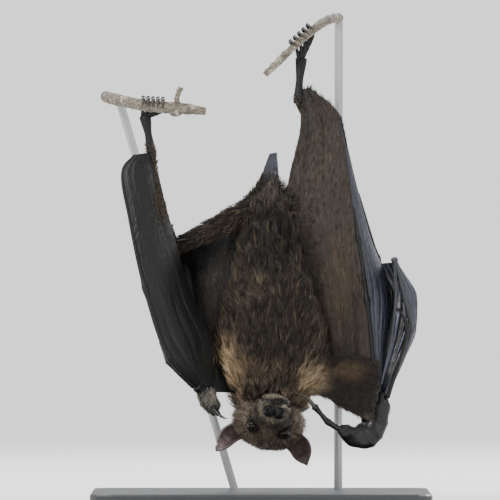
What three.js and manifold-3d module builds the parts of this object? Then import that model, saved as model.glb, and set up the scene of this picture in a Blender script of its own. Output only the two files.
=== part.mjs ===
// Fruit bat: a life-size still model of a flying fox that hangs by both feet from two twigs, on a display stand.
// Millimetres, +Z up. The bat faces -Y with its head down, so its own left side is at -X.
// The origin is the centre of the stand's underside.
import * as THREE from "three";
import { mergeVertices } from "three/addons/utils/BufferGeometryUtils.js";
import Module from "manifold-3d";

const wasm = await Module();
wasm.setup();

// ---------------------------------------------------------------- driving dimensions
const GAP = 0.3; // clearance where two pieces meet
const MEMBRANE = 0.9; // wing skin thickness
const EAR_SKIN = 1.4;
const EYE_RADIUS = 4.6;
const FINGER_RADIUS = 1.5;
const SLEEVE = 1.45; // size of the square sleeve round a finger, in finger radii
const KNUCKLE_RADIUS = 2.7;
const TOE_RADIUS = 1.45;
const TOE_COUNT = 5;
const CLAW_TIP_RADIUS = 0.45;
const ROD_RADIUS = 3.0;
const BASE = { width: 244, depth: 176, height: 10, corner: 14, bevel: 1.2 };

const BODY_SIDES = 14;
const LIMB_SIDES = 8;
const FINGER_SIDES = 5;
const TOE_SIDES = 4;
const AWAY = new THREE.Vector3(0, 1, 0); // from the belly to the back
const UP = new THREE.Vector3(0, 0, 1);

// Head: its middle, and how far it is rolled and turned, in degrees.
const HEAD = { middle: [5.6, -3, 59.5], roll: 12.8, yaw: 3 };

// Joints of each side. The left hand hangs forward of the body; the right hand is held out to the side.
const LEFT = {
  shoulder: [-22, 8, 96],
  elbow: [-58, 22, 184],
  wrist: [-37, -26, 76],
  hip: [-4, 3, 213],
  knee: [-63, -6, 185],
  shin: [-76, -29, 222],
  ankle: [-78.5, -32, 255],
};
const RIGHT = {
  shoulder: [36, 8, 96],
  elbow: [66, 34, 168],
  wrist: [76, -21, 52],
  hip: [16, 3, 214],
  knee: [46, 28, 246],
  shin: [38, 12, 270],
  ankle: [26.5, -5, 291],
};

// ---------------------------------------------------------------- geometry helpers
const vec = (p) => (p.isVector3 ? p.clone() : new THREE.Vector3(...p));
const curveOf = (points) => new THREE.CatmullRomCurve3(points.map(vec), false, "centripetal");

function closedGeometry(vertices, triangles) {
  const flat = new Float32Array(vertices.length * 3);
  vertices.forEach((v, i) => v.toArray(flat, i * 3));
  const geometry = new THREE.BufferGeometry();
  geometry.setAttribute("position", new THREE.BufferAttribute(flat, 3));
  geometry.setIndex(triangles);
  return geometry;
}

// Reads a list of numbers at t (0 to 1), blending smoothly between its entries.
function along(values, t) {
  if (!Array.isArray(values)) return values;
  const place = t * (values.length - 1);
  const i = Math.min(Math.floor(place), values.length - 2);
  const f = place - i;
  const ease = f * f * (3 - 2 * f);
  return values[i] + (values[i + 1] - values[i]) * (0.5 * f + 0.5 * ease);
}

// A round-ended solid along a smooth route. Each radius is one number or a list spread evenly along it;
// front and back are the depths to each side of the route, in the direction `away`.
function limb(points, { wide, front = wide, back = front, sides = LIMB_SIDES, steps, away = AWAY, round = 0.6 }) {
  return (grow = 0) => {
    const curve = curveOf(points);
    const count = steps ?? (points.length - 1) * 3;
    const vertices = [];
    const triangles = [];
    for (let i = 0; i <= count; i++) {
      const t = i / count;
      const centre = curve.getPoint(t);
      const ahead = curve.getTangent(t);
      const side = new THREE.Vector3().crossVectors(ahead, away).normalize();
      const rear = new THREE.Vector3().crossVectors(side, ahead).normalize();
      for (let k = 0; k < sides; k++) {
        const angle = (2 * Math.PI * k) / sides;
        const deep = Math.sin(angle) > 0 ? along(back, t) : along(front, t);
        vertices.push(
          centre
            .clone()
            .addScaledVector(side, Math.cos(angle) * (along(wide, t) + grow))
            .addScaledVector(rear, Math.sin(angle) * (deep + grow)),
        );
      }
    }
    for (let i = 0; i < count; i++)
      for (let k = 0; k < sides; k++) {
        const a = i * sides + k;
        const b = i * sides + ((k + 1) % sides);
        triangles.push(a, a + sides, b, b, a + sides, b + sides);
      }
    for (const [ring, t, sign] of [[0, 0, -1], [count, 1, 1]]) {
      const reach = round * Math.min(along(wide, t), along(front, t)) + grow;
      const tip = vertices.length;
      vertices.push(curve.getPoint(t).addScaledVector(curve.getTangent(t), sign * reach));
      for (let k = 0; k < sides; k++) {
        const a = ring * sides + k;
        const b = ring * sides + ((k + 1) % sides);
        triangles.push(...(sign > 0 ? [a, tip, b] : [b, tip, a]));
      }
    }
    return solid(closedGeometry(vertices, triangles));
  };
}

// A thin sheet between two edges. `bulge` moves its middle in the direction `towards`.
function sheet(edgeA, edgeB, { thick = MEMBRANE, across = 4, steps = 10, bulge = 0, towards = [0, -1, 0] }) {
  return (grow = 0) => {
    const a = curveOf(edgeA);
    const b = curveOf(edgeB);
    const push = vec(towards).normalize();
    const grid = [];
    for (let j = 0; j <= steps; j++)
      for (let i = 0; i <= across; i++) {
        const v = j / steps;
        const u = i / across;
        const lift = along(bulge, v) * 4 * u * (1 - u);
        grid.push(a.getPoint(v).lerp(b.getPoint(v), u).addScaledVector(push, lift));
      }
    const at = (i, j) => grid[j * (across + 1) + i];
    const half = thick / 2 + grow;
    const border = (i, last) => (i === 0 ? -grow : i === last ? grow : 0);
    const vertices = [];
    for (const sign of [1, -1])
      for (let j = 0; j <= steps; j++)
        for (let i = 0; i <= across; i++) {
          const du = at(Math.min(i + 1, across), j).clone().sub(at(Math.max(i - 1, 0), j));
          const dv = at(i, Math.min(j + 1, steps)).clone().sub(at(i, Math.max(j - 1, 0)));
          const normal = new THREE.Vector3().crossVectors(du, dv).normalize();
          vertices.push(
            at(i, j)
              .clone()
              .addScaledVector(normal, sign * half)
              .addScaledVector(du.normalize(), border(i, across))
              .addScaledVector(dv.normalize(), border(j, steps)),
          );
        }
    const layer = (across + 1) * (steps + 1);
    const id = (i, j, under) => j * (across + 1) + i + (under ? layer : 0);
    const triangles = [];
    const quad = (p, q, r, s) => triangles.push(p, q, r, p, r, s);
    for (let j = 0; j < steps; j++)
      for (let i = 0; i < across; i++) {
        quad(id(i, j), id(i + 1, j), id(i + 1, j + 1), id(i, j + 1));
        quad(id(i, j, 1), id(i, j + 1, 1), id(i + 1, j + 1, 1), id(i + 1, j, 1));
      }
    for (let i = 0; i < across; i++) {
      quad(id(i, 0), id(i, 0, 1), id(i + 1, 0, 1), id(i + 1, 0));
      quad(id(i, steps), id(i + 1, steps), id(i + 1, steps, 1), id(i, steps, 1));
    }
    for (let j = 0; j < steps; j++) {
      quad(id(0, j), id(0, j + 1), id(0, j + 1, 1), id(0, j, 1));
      quad(id(across, j), id(across, j, 1), id(across, j + 1, 1), id(across, j + 1));
    }
    return solid(closedGeometry(vertices, triangles));
  };
}

// An ellipsoid with its own axes.
function egg(centre, radii, frame, segments = 10) {
  return (grow = 0) => {
    const geometry = new THREE.SphereGeometry(1, segments, Math.round(segments * 0.6));
    geometry.scale(radii[0] + grow, radii[1] + grow, radii[2] + grow);
    if (frame) geometry.applyMatrix4(frame);
    const middle = vec(centre);
    geometry.translate(middle.x, middle.y, middle.z);
    return solid(geometry);
  };
}

function solid(geometry) {
  const bare = geometry.index ? geometry.toNonIndexed() : geometry.clone();
  for (const name of Object.keys(bare.attributes)) if (name !== "position") bare.deleteAttribute(name);
  const merged = mergeVertices(bare, 1e-4);
  const made = new wasm.Manifold(
    new wasm.Mesh({
      numProp: 3,
      vertProperties: new Float32Array(merged.attributes.position.array),
      triVerts: new Uint32Array(merged.index.array),
    }),
  );
  return made;
}

function geometryOf(made) {
  const mesh = made.getMesh();
  const geometry = new THREE.BufferGeometry();
  geometry.setAttribute("position", new THREE.BufferAttribute(new Float32Array(mesh.vertProperties), 3));
  geometry.setIndex([...mesh.triVerts]);
  return geometry;
}

// Joins several shapes into one shape that can grow as they do.
const joined =
  (...shapes) =>
  (grow = 0) =>
    shapes.map((shape) => shape(grow)).reduce((all, next) => all.add(next));

function largest(made) {
  const bodies = made.decompose();
  return bodies.reduce((best, body) => (body.volume() > best.volume() ? body : best));
}

// ---------------------------------------------------------------- assembly: later pieces keep clear of earlier ones
const bat = new THREE.Group();
const placed = [];

function boxesMeet(a, b) {
  return [0, 1, 2].every((i) => a.min[i] <= b.max[i] && b.min[i] <= a.max[i]);
}

function place(name, shape, finish, options = {}) {
  let made = shape();
  const keep = options.clearOf ?? placed.map((piece) => piece.name);
  for (const piece of placed)
    if (keep.includes(piece.name) && boxesMeet(piece.grown.boundingBox(), made.boundingBox()))
      made = made.subtract(piece.grown);
  made = largest(made);
  placed.push({ name, grown: (options.keepOff ?? shape)(GAP) });
  const mesh = new THREE.Mesh(geometryOf(made), finish);
  mesh.name = name;
  bat.add(mesh);
}

const finish = (color, roughness, metalness = 0) => new THREE.MeshStandardMaterial({ color, roughness, metalness });
const FUR = finish(0x3c342c, 0.9);
const MANTLE_FUR = finish(0xa07a52, 0.9);
const FACE_FUR = finish(0x5f554b, 0.9);
const EAR = finish(0x3c2d2d, 0.6);
const EYE = finish(0x0c0806, 0.08);
const WING = finish(0x2c2c34, 0.45);
const CLAW = finish(0x1c1815, 0.35);
const BARK = finish(0x8a8378, 0.85);
const STAND = finish(0x1f2022, 0.5);

// ---------------------------------------------------------------- twigs
const leftTwig = limb(
  [[-39.5, -40, 283], [-58, -40, 285], [-80, -39, 286.5], [-96, -20, 290], [-106, 8, 292.5], [-112, 30, 294.5]],
  { wide: [2.8, 4.2, 4.0, 3.9, 4.2, 4.0], sides: 7, steps: 9, away: UP, round: 0.15 },
);
const leftSideTwig = limb([[-59.5, -40, 285], [-60, -41, 293], [-57.5, -42, 300]], {
  wide: [2.6, 1.7, 1.9],
  sides: 5,
  steps: 2,
  round: 0.15,
});
const leftKnob = egg([-61, -40, 281.5], [4.6, 3.4, 2.6], null, 6);
const rightTwig = limb(
  [[2.9, -15, 309.6], [17, -13, 323.5], [31.7, -10, 337], [44, 2, 347], [52, 24, 351], [57, 48, 352]],
  { wide: [2.3, 2.6, 2.8, 3.0, 3.2, 3.2], sides: 7, steps: 10, away: UP, round: 0.15 },
);
place("perch_left", joined(leftTwig, leftSideTwig, leftKnob), BARK);
place("perch_right", rightTwig, BARK);

// ---------------------------------------------------------------- head
// Head axes: n points out of the nose, c to the crown (down, as the bat hangs) and s to the bat's right.
const headTurn = new THREE.Matrix4().makeRotationY(THREE.MathUtils.degToRad(HEAD.roll));
headTurn.premultiply(new THREE.Matrix4().makeRotationZ(THREE.MathUtils.degToRad(HEAD.yaw)));
const NOSEWARD = new THREE.Vector3(0, -1, 0).transformDirection(headTurn);
const CROWNWARD = new THREE.Vector3(0, 0, -1).transformDirection(headTurn);
const SIDEWARD = new THREE.Vector3(1, 0, 0).transformDirection(headTurn);
const onHead = (s, n, c) =>
  vec(HEAD.middle).addScaledVector(SIDEWARD, s).addScaledVector(NOSEWARD, n).addScaledVector(CROWNWARD, c);

const SKULL = [
  // distance to the nose, middle towards the crown, half width, half height
  [-25, 0, 9, 8],
  [-17, 0.5, 20, 16.5],
  [-7, 0.5, 25, 20.5],
  [3, -0.5, 24.5, 19.5],
  [12, -3, 18.5, 15.5],
  [19, -6.5, 14, 12],
  [26, -9.5, 11.5, 10],
  [32, -11.5, 10, 8.6],
  [37, -12.2, 8, 7.2],
];
const skull = limb(
  SKULL.map(([n, c]) => onHead(0, n, c)),
  {
    wide: SKULL.map((row) => row[2]),
    front: SKULL.map((row) => row[3]),
    sides: BODY_SIDES,
    steps: 10,
    away: CROWNWARD,
    round: 0.35,
  },
);
const nostrilSpacing = 7.3;
const nosePad = joined(
  ...[-1, 1].map((side) => egg(onHead((side * nostrilSpacing) / 2, 37.5, -8.3), [4.1, 3.6, 3.7], headTurn, 8)),
);
const nostrils = joined(
  ...[-1, 1].map((side) => egg(onHead(side * nostrilSpacing * 0.62, 40.6, -8.6), [1.2, 1.9, 1.5], headTurn, 6)),
);
const mouth = egg(onHead(0, 38, -15.6), [9.5, 8, 0.5], headTurn, 6);
const EYES = { side: 11.4, nose: 15.2, crown: 4.4 };
const eyeMiddle = (side) => onHead(side * EYES.side, EYES.nose, EYES.crown);
const eyeball = (side) => egg(eyeMiddle(side), [EYE_RADIUS, EYE_RADIUS, EYE_RADIUS], null, 8);

place("eye_left", eyeball(-1), EYE);
place("eye_right", eyeball(1), EYE);
const face = (grow = 0) => joined(skull, nosePad)(grow).subtract(joined(nostrils, mouth)());
place("head", face, FACE_FUR, { keepOff: joined(skull, nosePad) });

// Each ear is a pointed leaf, cupped forward; its edges run from the root to the tip.
const EAR_DEPTH = 2;
function ear(outer, inner, tip) {
  const edge = (points) => points.map(([x, z], i) => [x, EAR_DEPTH - 2 * i, z]);
  const end = ([x, z], shift) => [x + shift, EAR_DEPTH - 5, z];
  return sheet([...edge(outer), end(tip, -0.5)], [...edge(inner), end(tip, 0.5)], {
    thick: EAR_SKIN,
    across: 4,
    steps: 5,
    bulge: [4, 5, 4, 1.5, 0],
    towards: [0, 1, 0],
  });
}
const leftEar = ear([[-14, 62], [-27, 55.5], [-31.5, 48]], [[-10, 50], [-17.5, 46], [-24.5, 41]], [-32.2, 39]);
const rightEar = ear([[22, 55], [33, 47], [35.6, 38]], [[14, 46], [20.5, 40], [25.5, 33]], [33.2, 28.6]);
place("ear_left", leftEar, EAR);
place("ear_right", rightEar, EAR);

// ---------------------------------------------------------------- trunk and neck
const TRUNK = [
  // middle x, middle y, height, half width, half depth
  [9.6, 3, 227, 6.5, 6],
  [8.5, 3, 219, 11.5, 11],
  [6.0, 2, 207, 18, 15.5],
  [5.2, 1, 184, 23.5, 19.5],
  [6.4, 0, 150, 33.5, 24.5],
  [8.3, 0, 122, 40, 28],
  [8.8, 0, 103, 40.5, 27.5],
  [7.4, 1, 90, 36, 25],
  [6.4, 2, 80, 30, 22],
];
const trunk = limb(
  TRUNK.map(([x, y, z]) => [x, y, z]),
  {
    wide: TRUNK.map((row) => row[3]),
    front: TRUNK.map((row) => row[4]),
    sides: BODY_SIDES,
    steps: 12,
    round: 0.3,
  },
);
const WAIST = 158; // height of the part between chest and abdomen
const slab = (low, high) => {
  const box = new THREE.BoxGeometry(200, 200, high - low);
  box.translate(0, 0, (low + high) / 2);
  return solid(box);
};
place("chest", (grow = 0) => trunk(grow).intersect(slab(0, WAIST + grow)), FUR);
place("abdomen", (grow = 0) => trunk(grow).intersect(slab(WAIST - grow, 400)), FUR);
const neck = limb([[7.4, 3, 97], [6.4, 4, 82], [5.4, 6, 68], [5.6, 7, 54]], {
  wide: [34, 30.5, 26, 14],
  front: [23, 20, 16, 10],
  sides: BODY_SIDES,
  steps: 4,
  round: 0.3,
});
place("neck", neck, MANTLE_FUR);

// ---------------------------------------------------------------- legs and feet
function leg(name, joints, thighRadii) {
  place(`thigh_${name}`, limb([joints.hip, joints.knee], { wide: thighRadii, sides: 10, steps: 3 }), FUR);
  place(`shin_${name}`, limb([joints.knee, joints.shin, joints.ankle], { wide: [6, 4.6, 3.4], steps: 4 }), FUR);
}

// The toes pass behind the twig and over it, and end in claws on its near side.
function foot(ankle, sole, grip, axis, radius, spread) {
  const lengthwise = vec(axis).normalize();
  const lift = new THREE.Vector3().crossVectors(lengthwise, AWAY).normalize();
  if (lift.z < 0) lift.negate();
  const back = new THREE.Vector3().crossVectors(lengthwise, lift).normalize();
  if (back.y < 0) back.negate();
  const toes = [];
  for (let k = 0; k < TOE_COUNT; k++) {
    const shift = (k / (TOE_COUNT - 1) - 0.5) * spread;
    const middle = vec(grip).addScaledVector(lengthwise, shift);
    const reach = radius + TOE_RADIUS + GAP + 0.1;
    const bend = [-25, 20, 65, 110, 150, 185].map((angle, i, all) => {
      const turn = THREE.MathUtils.degToRad(angle);
      const out = reach + (i === all.length - 1 ? 0.6 : 0);
      return middle
        .clone()
        .addScaledVector(back, Math.cos(turn) * out)
        .addScaledVector(lift, Math.sin(turn) * out);
    });
    const root = vec(sole).addScaledVector(lengthwise, shift * 0.3);
    toes.push(
      limb([root, ...bend], {
        wide: [TOE_RADIUS, TOE_RADIUS, TOE_RADIUS, TOE_RADIUS, 1.3, 1.1, CLAW_TIP_RADIUS],
        sides: TOE_SIDES,
        steps: 6,
        away: lengthwise,
      }),
    );
  }
  const instep = limb([ankle, vec(ankle).lerp(vec(sole), 0.5), sole], {
    wide: [3.6, 2.5, 4.3],
    front: [3.2, 2.3, 2.2],
    steps: 4,
  });
  return joined(instep, ...toes);
}
leg("left", LEFT, [11, 6.5]);
leg("right", RIGHT, [11, 6.5]);

// A short pointed web of skin stands up between the rump and the left thigh.
place(
  "tail_membrane",
  sheet(
    [[14, 4, 220], [12.2, 4.5, 240], [10.4, 5, 258]],
    [[-16, 3, 214], [-4, 4, 228], [8.8, 5, 258.4]],
    { across: 2, steps: 4, bulge: [2, 1, 0], towards: [0, 1, 0] },
  ),
  WING,
);
place("foot_left", foot([-78.5, -32, 256], [-83, -30, 279], [-77.5, -39.3, 286.4], [1, 0, -0.06], 4.1, 14), WING);
place("foot_right", foot([26.5, -5, 292], [29, -2, 321], [30.5, -10.3, 336], [1, 0.2, 0.95], 2.9, 17), WING);

// ---------------------------------------------------------------- arms
function arm(name, joints) {
  place(`upper_arm_${name}`, limb([joints.shoulder, joints.elbow], { wide: [9, 5.5], sides: 10, steps: 3 }), FUR);
  place(`forearm_${name}`, limb([joints.elbow, joints.wrist], { wide: [5, 3.8, 3.2], steps: 3 }), WING);
}
arm("left", LEFT);
arm("right", RIGHT);
place(
  "hand_left",
  limb([[-46, -36, 86], [-39, -27, 79], [-34.5, -26, 72], [-32.5, -28, 67]], {
    wide: [3.5, 6.5, 5, 2.5],
    front: [3, 5, 4, 2.5],
    steps: 5,
  }),
  WING,
);
place(
  "hand_right",
  limb([[57, -27, 55], [66, -25, 51], [75, -22, 50.5], [84, -21, 62], [87, -22, 72]], {
    wide: [3, 7.5, 10.5, 6.5, 5],
    front: [2.6, 4.5, 5, 4, 3.2],
    steps: 7,
  }),
  WING,
);

// A finger is a chain of thin bones with knuckles where `knots` says so.
// Its sleeve is the plain square tube that the wing skin keeps clear of.
function finger(points, knots) {
  const bone = limb(points, { wide: FINGER_RADIUS, sides: FINGER_SIDES, steps: points.length - 1 });
  const balls = knots.map((i) => egg(points[i], [KNUCKLE_RADIUS, KNUCKLE_RADIUS, KNUCKLE_RADIUS], null, 5));
  const sleeve = limb(points, { wide: FINGER_RADIUS * SLEEVE, sides: 4, steps: points.length - 1 });
  return { bones: joined(bone, ...balls), keepOff: joined(sleeve, ...balls) };
}
const placeFinger = (name, { bones, keepOff }) => place(name, bones, WING, { keepOff });
const claw = (points, root) =>
  limb(points, { wide: [root, root * 0.8, CLAW_TIP_RADIUS], sides: FINGER_SIDES, steps: 4 });

place("thumb_left", limb([[-33.5, -30, 69], [-31, -32, 66.5]], { wide: [2.2, 1.8], steps: 2 }), WING);
place("thumb_claw_left", claw([[-30.5, -32.5, 66.2], [-27, -34, 64], [-24, -36, 62.6]], 1.5), CLAW);
place(
  "thumb_right",
  limb([[56, -28, 56], [48, -30, 60.5], [43, -32, 66], [38.5, -34, 71.3]], {
    wide: [2.6, 1.7, 1.7, 2.2],
    sides: 6,
    steps: 5,
  }),
  WING,
);
place("thumb_claw_right", claw([[37.6, -34.5, 72.2], [31, -36, 78.5], [25.2, -36, 81.4]], 1.8), CLAW);

// Left hand: the wing tip stands up in front of the shin.
const LEFT_TIP = [-90.5, -42, 251.5];
const LEFT_TIP_BEND = [-98.6, -46, 241];
const LEFT_END_JOINT = [-82.5, -68, 156];
const LEFT_KNUCKLE = [-66, -72, 108];
const leftThird = finger(
  [[-47, -39, 88], LEFT_KNUCKLE, LEFT_END_JOINT, [-93.5, -57, 205], LEFT_TIP_BEND, LEFT_TIP],
  [1, 2],
);
const leftFourth = finger([[-45, -33, 90], [-62, -46, 112], [-72, -36, 160], [-80, -26, 200]], [1, 2]);
const leftFifth = finger([[-41, -24, 90], [-54, -16, 125], [-63, -8, 165], [-68, -6, 190]], [1, 2]);
const leftIndex = finger([[-49, -42, 86], [-66, -64, 104], [-72, -72, 118]], [1]);
placeFinger("finger_third_left", leftThird);
placeFinger("finger_fourth_left", leftFourth);
placeFinger("finger_fifth_left", leftFifth);
placeFinger("finger_index_left", leftIndex);

// Right hand: its third finger is folded back on itself beside the wing's outer edge.
const RIGHT_KNUCKLE = [107, -27, 125];
const RIGHT_END_JOINT = [95.4, -36, 177];
const RIGHT_TIP = [86.5, -27, 88];
const rightThirdOut = finger([[88, -22, 76], RIGHT_KNUCKLE, [102, -31, 152], RIGHT_END_JOINT], [1, 3]);
const rightThirdBack = limb([RIGHT_END_JOINT, [96.3, -35, 150], [93.2, -31, 118], RIGHT_TIP], {
  wide: [1.4, 1.3, 1.1, 0.8],
  sides: FINGER_SIDES,
  steps: 4,
});
const rightFourth = finger([[86, -18, 76], [89.5, -12, 120], [94, -6, 151], [84, 2, 178], [70, 6, 224]], [2, 3]);
const rightFifth = finger([[81, -23, 68], [80, -26, 110], [76, -24, 147], [70, -15, 192], [66.5, -10, 214]], [2, 3]);
const rightIndex = finger([[91, -26, 78], [104.5, -33, 128], [98.5, -35, 141.5]], [1]);
place("finger_third_right", joined(rightThirdOut.bones, rightThirdBack), WING, {
  keepOff: joined(rightThirdOut.keepOff, rightThirdBack),
});
placeFinger("finger_fourth_right", rightFourth);
placeFinger("finger_fifth_right", rightFifth);
placeFinger("finger_index_right", rightIndex);

// ---------------------------------------------------------------- wing membranes
// Left: the arm membrane runs from the flank to the forearm, the hand membrane is the long folded band.
place(
  "wing_arm_left",
  sheet(
    [[0, 5, 200], [-8, 6, 175], [-16, 6, 145], [-22, 6, 115], [-20, 5, 98]],
    [[-62, -12, 190], [-58, 14, 172], [-52, 6, 150], [-45, -8, 118], [-39, -20, 90]],
    { across: 3, steps: 6, bulge: [3, 6, 4] },
  ),
  WING,
);
place(
  "wing_hand_left",
  sheet(
    [LEFT_TIP, LEFT_TIP_BEND, [-93, -57, 205], LEFT_END_JOINT, [-76, -71, 135], LEFT_KNUCKLE, [-46, -38, 86]],
    [
      [-80.5, -36, 253.5],
      [-75.5, -33, 242],
      [-69.5, -31, 219],
      [-60, -29, 184],
      [-50, -27, 152],
      [-37, -24, 124],
      [-34, -25, 86],
    ],
    { across: 4, steps: 9, bulge: [2, 7, 9, 7, 3], towards: [0.2, -1, 0] },
  ),
  WING,
);
place(
  "wing_outer_left",
  sheet(
    [LEFT_TIP, LEFT_TIP_BEND, [-93, -57, 205], LEFT_END_JOINT, [-76, -71, 135], LEFT_KNUCKLE, [-47, -39, 87]],
    [[-82, -34, 250], [-74, -14, 220], [-62, 12, 186], [-56, 16, 165], [-50, 5, 138], [-44, -9, 110], [-38, -24, 82]],
    { across: 2, steps: 6, bulge: [3, 6, 7, 4], towards: [-1, 0, 0] },
  ),
  WING,
);
place(
  "wing_front_left",
  sheet(
    [[-18, 2, 97], [-20, -5, 89], [-18, -9, 81]],
    [[-48, -2, 138], [-42, -14, 108], [-36, -24, 82]],
    { across: 2, steps: 3, bulge: 2 },
  ),
  WING,
);

// Right: the arm membrane is a broad furred panel from leg and flank to the fifth finger.
place(
  "wing_arm_right",
  sheet(
    [[27.5, -5.5, 299], [28.5, -3, 272], [19, 1, 226], [22, 3, 184], [31, 4, 150], [38, 5, 105]],
    [[35, -5, 300], [56, -3, 281], [65, -10, 218], [73, -18, 178], [78, -25, 140], [80, -26, 104]],
    { across: 3, steps: 7, bulge: [1, 4, 3, 5, 2], towards: [0, 1, 0] },
  ),
  WING,
);
place(
  "wing_hand_right",
  sheet(
    [[56.5, -3.5, 281], [61.5, -6.5, 252], [66, -10, 214], [75, -21, 160], [80, -26, 112], [82, -24, 74]],
    [[57.4, 0, 280], [66, 6, 240], [80, 4, 190], [94, -6, 151], [88, -14, 112], [86, -18, 76]],
    { across: 2, steps: 8, bulge: [0, 2, 3, 2], towards: [0.6, -0.8, 0] },
  ),
  WING,
);
place(
  "wing_outer_right",
  sheet(
    [[95.6, -33, 176], [102, -29, 152], [107, -26, 125], [98, -23, 98], [89, -21, 78]],
    [[86, 0, 174], [93.8, -6, 151], [90.5, -11, 128], [88, -15, 100], [86, -18, 80]],
    { across: 4, steps: 8, bulge: [6, 14, 11, 5, 1], towards: [1, 0.3, 0] },
  ),
  WING,
);
place(
  "wing_front_right",
  sheet(
    [[28, -12, 82], [44, -18, 80], [60, -23, 70], [71, -25, 57]],
    [[36, 1, 101], [50, -7, 102.5], [65, -17, 103], [79.5, -25, 102]],
    { across: 3, steps: 4, bulge: 3 },
  ),
  WING,
);

// ---------------------------------------------------------------- stand
function roundedPlate({ width, depth, height, corner, bevel }) {
  const w = width / 2 - bevel;
  const d = depth / 2 - bevel;
  const outline = new THREE.Shape();
  outline.moveTo(-w + corner, -d);
  outline.lineTo(w - corner, -d);
  outline.absarc(w - corner, -d + corner, corner, -Math.PI / 2, 0);
  outline.absarc(w - corner, d - corner, corner, 0, Math.PI / 2);
  outline.absarc(-w + corner, d - corner, corner, Math.PI / 2, Math.PI);
  outline.absarc(-w + corner, -d + corner, corner, Math.PI, 1.5 * Math.PI);
  const plate = new THREE.ExtrudeGeometry(outline, {
    depth: height - 2 * bevel,
    bevelThickness: bevel,
    bevelSize: bevel,
    bevelSegments: 1,
    curveSegments: 2,
  });
  plate.translate(0, 0, bevel);
  return () => solid(plate);
}

function rod(foot, head) {
  const from = vec(foot);
  const to = vec(head);
  return (grow = 0) => {
    const bar = new THREE.CylinderGeometry(ROD_RADIUS + grow, ROD_RADIUS + grow, from.distanceTo(to), 12);
    const upward = to.clone().sub(from).normalize();
    bar.applyQuaternion(new THREE.Quaternion().setFromUnitVectors(new THREE.Vector3(0, 1, 0), upward));
    const middle = from.clone().lerp(to, 0.5);
    bar.translate(middle.x, middle.y, middle.z);
    return solid(bar);
  };
}
place("stand_base", roundedPlate(BASE), STAND);
place("stand_rod_left", rod([-18, 48, BASE.height - 4], [-102, 12, 291]), STAND);
place("stand_rod_right", rod([56, 46, BASE.height - 4], [56.5, 46, 352]), STAND);

export default bat;
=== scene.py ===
"""Fruit bat on a display stand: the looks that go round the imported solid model.

The bat hangs head down and faces -Y. Constants are in millimetres and Blender's meshes are in
metres.
"""

import logging
import math
from dataclasses import dataclass, field
from enum import Enum
from functools import reduce
from operator import add
from typing import Callable, Iterable, Sequence

import bmesh
import bpy
import numpy as np
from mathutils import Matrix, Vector, kdtree


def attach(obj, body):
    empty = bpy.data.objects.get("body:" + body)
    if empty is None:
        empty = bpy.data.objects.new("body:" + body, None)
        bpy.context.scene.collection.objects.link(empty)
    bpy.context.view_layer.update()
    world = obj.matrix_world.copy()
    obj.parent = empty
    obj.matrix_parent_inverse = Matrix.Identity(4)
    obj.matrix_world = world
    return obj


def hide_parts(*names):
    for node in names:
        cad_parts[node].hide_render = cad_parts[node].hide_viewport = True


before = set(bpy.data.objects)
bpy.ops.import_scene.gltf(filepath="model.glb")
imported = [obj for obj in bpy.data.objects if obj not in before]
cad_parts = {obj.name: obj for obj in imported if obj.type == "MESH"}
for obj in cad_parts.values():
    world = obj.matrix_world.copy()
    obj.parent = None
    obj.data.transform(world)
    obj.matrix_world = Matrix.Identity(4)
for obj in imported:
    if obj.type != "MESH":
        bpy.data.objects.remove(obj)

LOG = logging.getLogger("fruit_bat")
MM = 0.001
BODY = "root"
Array = np.ndarray
Point = Sequence[float]
Material = bpy.types.Material
Socket = bpy.types.NodeSocket
Node = bpy.types.Node
Tree = bpy.types.NodeTree

# ------------------------------------------------------------------ landmarks in millimetres
HEAD_MIDDLE = (5.6, -3.0, 59.5)
HEAD_ROLL = 12.8
HEAD_YAW = 3.0
SKULL = (  # distance to the nose, middle towards the crown, half width, half height
    (-25, 0, 9, 8),
    (-17, 0.5, 20, 16.5),
    (-7, 0.5, 25, 20.5),
    (3, -0.5, 24.5, 19.5),
    (12, -3, 18.5, 15.5),
    (19, -6.5, 14, 12),
    (26, -9.5, 11.5, 10),
    (32, -11.5, 10, 8.6),
    (37, -12.2, 8, 7.2),
)
TRUNK = (  # middle x, middle y, height, half width, half depth
    (9.6, 3, 227, 6.5, 6),
    (8.5, 3, 219, 11.5, 11),
    (6.0, 2, 207, 18, 15.5),
    (5.2, 1, 184, 23.5, 19.5),
    (6.4, 0, 150, 33.5, 24.5),
    (8.3, 0, 122, 40, 28),
    (8.8, 0, 103, 40.5, 27.5),
    (7.4, 1, 90, 36, 25),
    (6.4, 2, 80, 30, 22),
    (5.6, 6, 68, 26, 16),
)
EYE_SIDE, EYE_NOSEWARD, EYE_CROWNWARD, EYE_RADIUS = 11.4, 15.0, 4.4, 4.6
LID_UP, LID_OUT = 68, 74  # how far the lids open from the line of sight, in degrees
SIDES = ((-1, "left"), (1, "right"))
REARWARD = (0.0, 1.0, 0.02)  # to the bat's back, off the axis so that no bone runs along it
CAP_RINGS = 3  # extra rings that round each end of a loft


@dataclass(frozen=True)
class Joints:
    """Where one side's limbs bend.

    Args:
        shoulder, elbow, wrist: the arm.
        hip, knee, shin, ankle: the leg.
    """

    shoulder: Point
    elbow: Point
    wrist: Point
    hip: Point
    knee: Point
    shin: Point
    ankle: Point


LEFT = Joints(
    (-22, 8, 96), (-58, 22, 184), (-37, -26, 76), (-4, 3, 213), (-63, -6, 185), (-76, -29, 222),
    (-78.5, -32, 255),
)
RIGHT = Joints(
    (36, 8, 96), (66, 34, 168), (76, -21, 52), (16, 3, 214), (46, 28, 246), (38, 12, 270),
    (26.5, -5, 291),
)


# ------------------------------------------------------------------ numbers and curves
def unit(v: Array) -> Array:
    """Scales the vectors in the last axis to length one."""
    return v / np.maximum(np.linalg.norm(v, axis=-1, keepdims=True), 1e-9)


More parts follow.
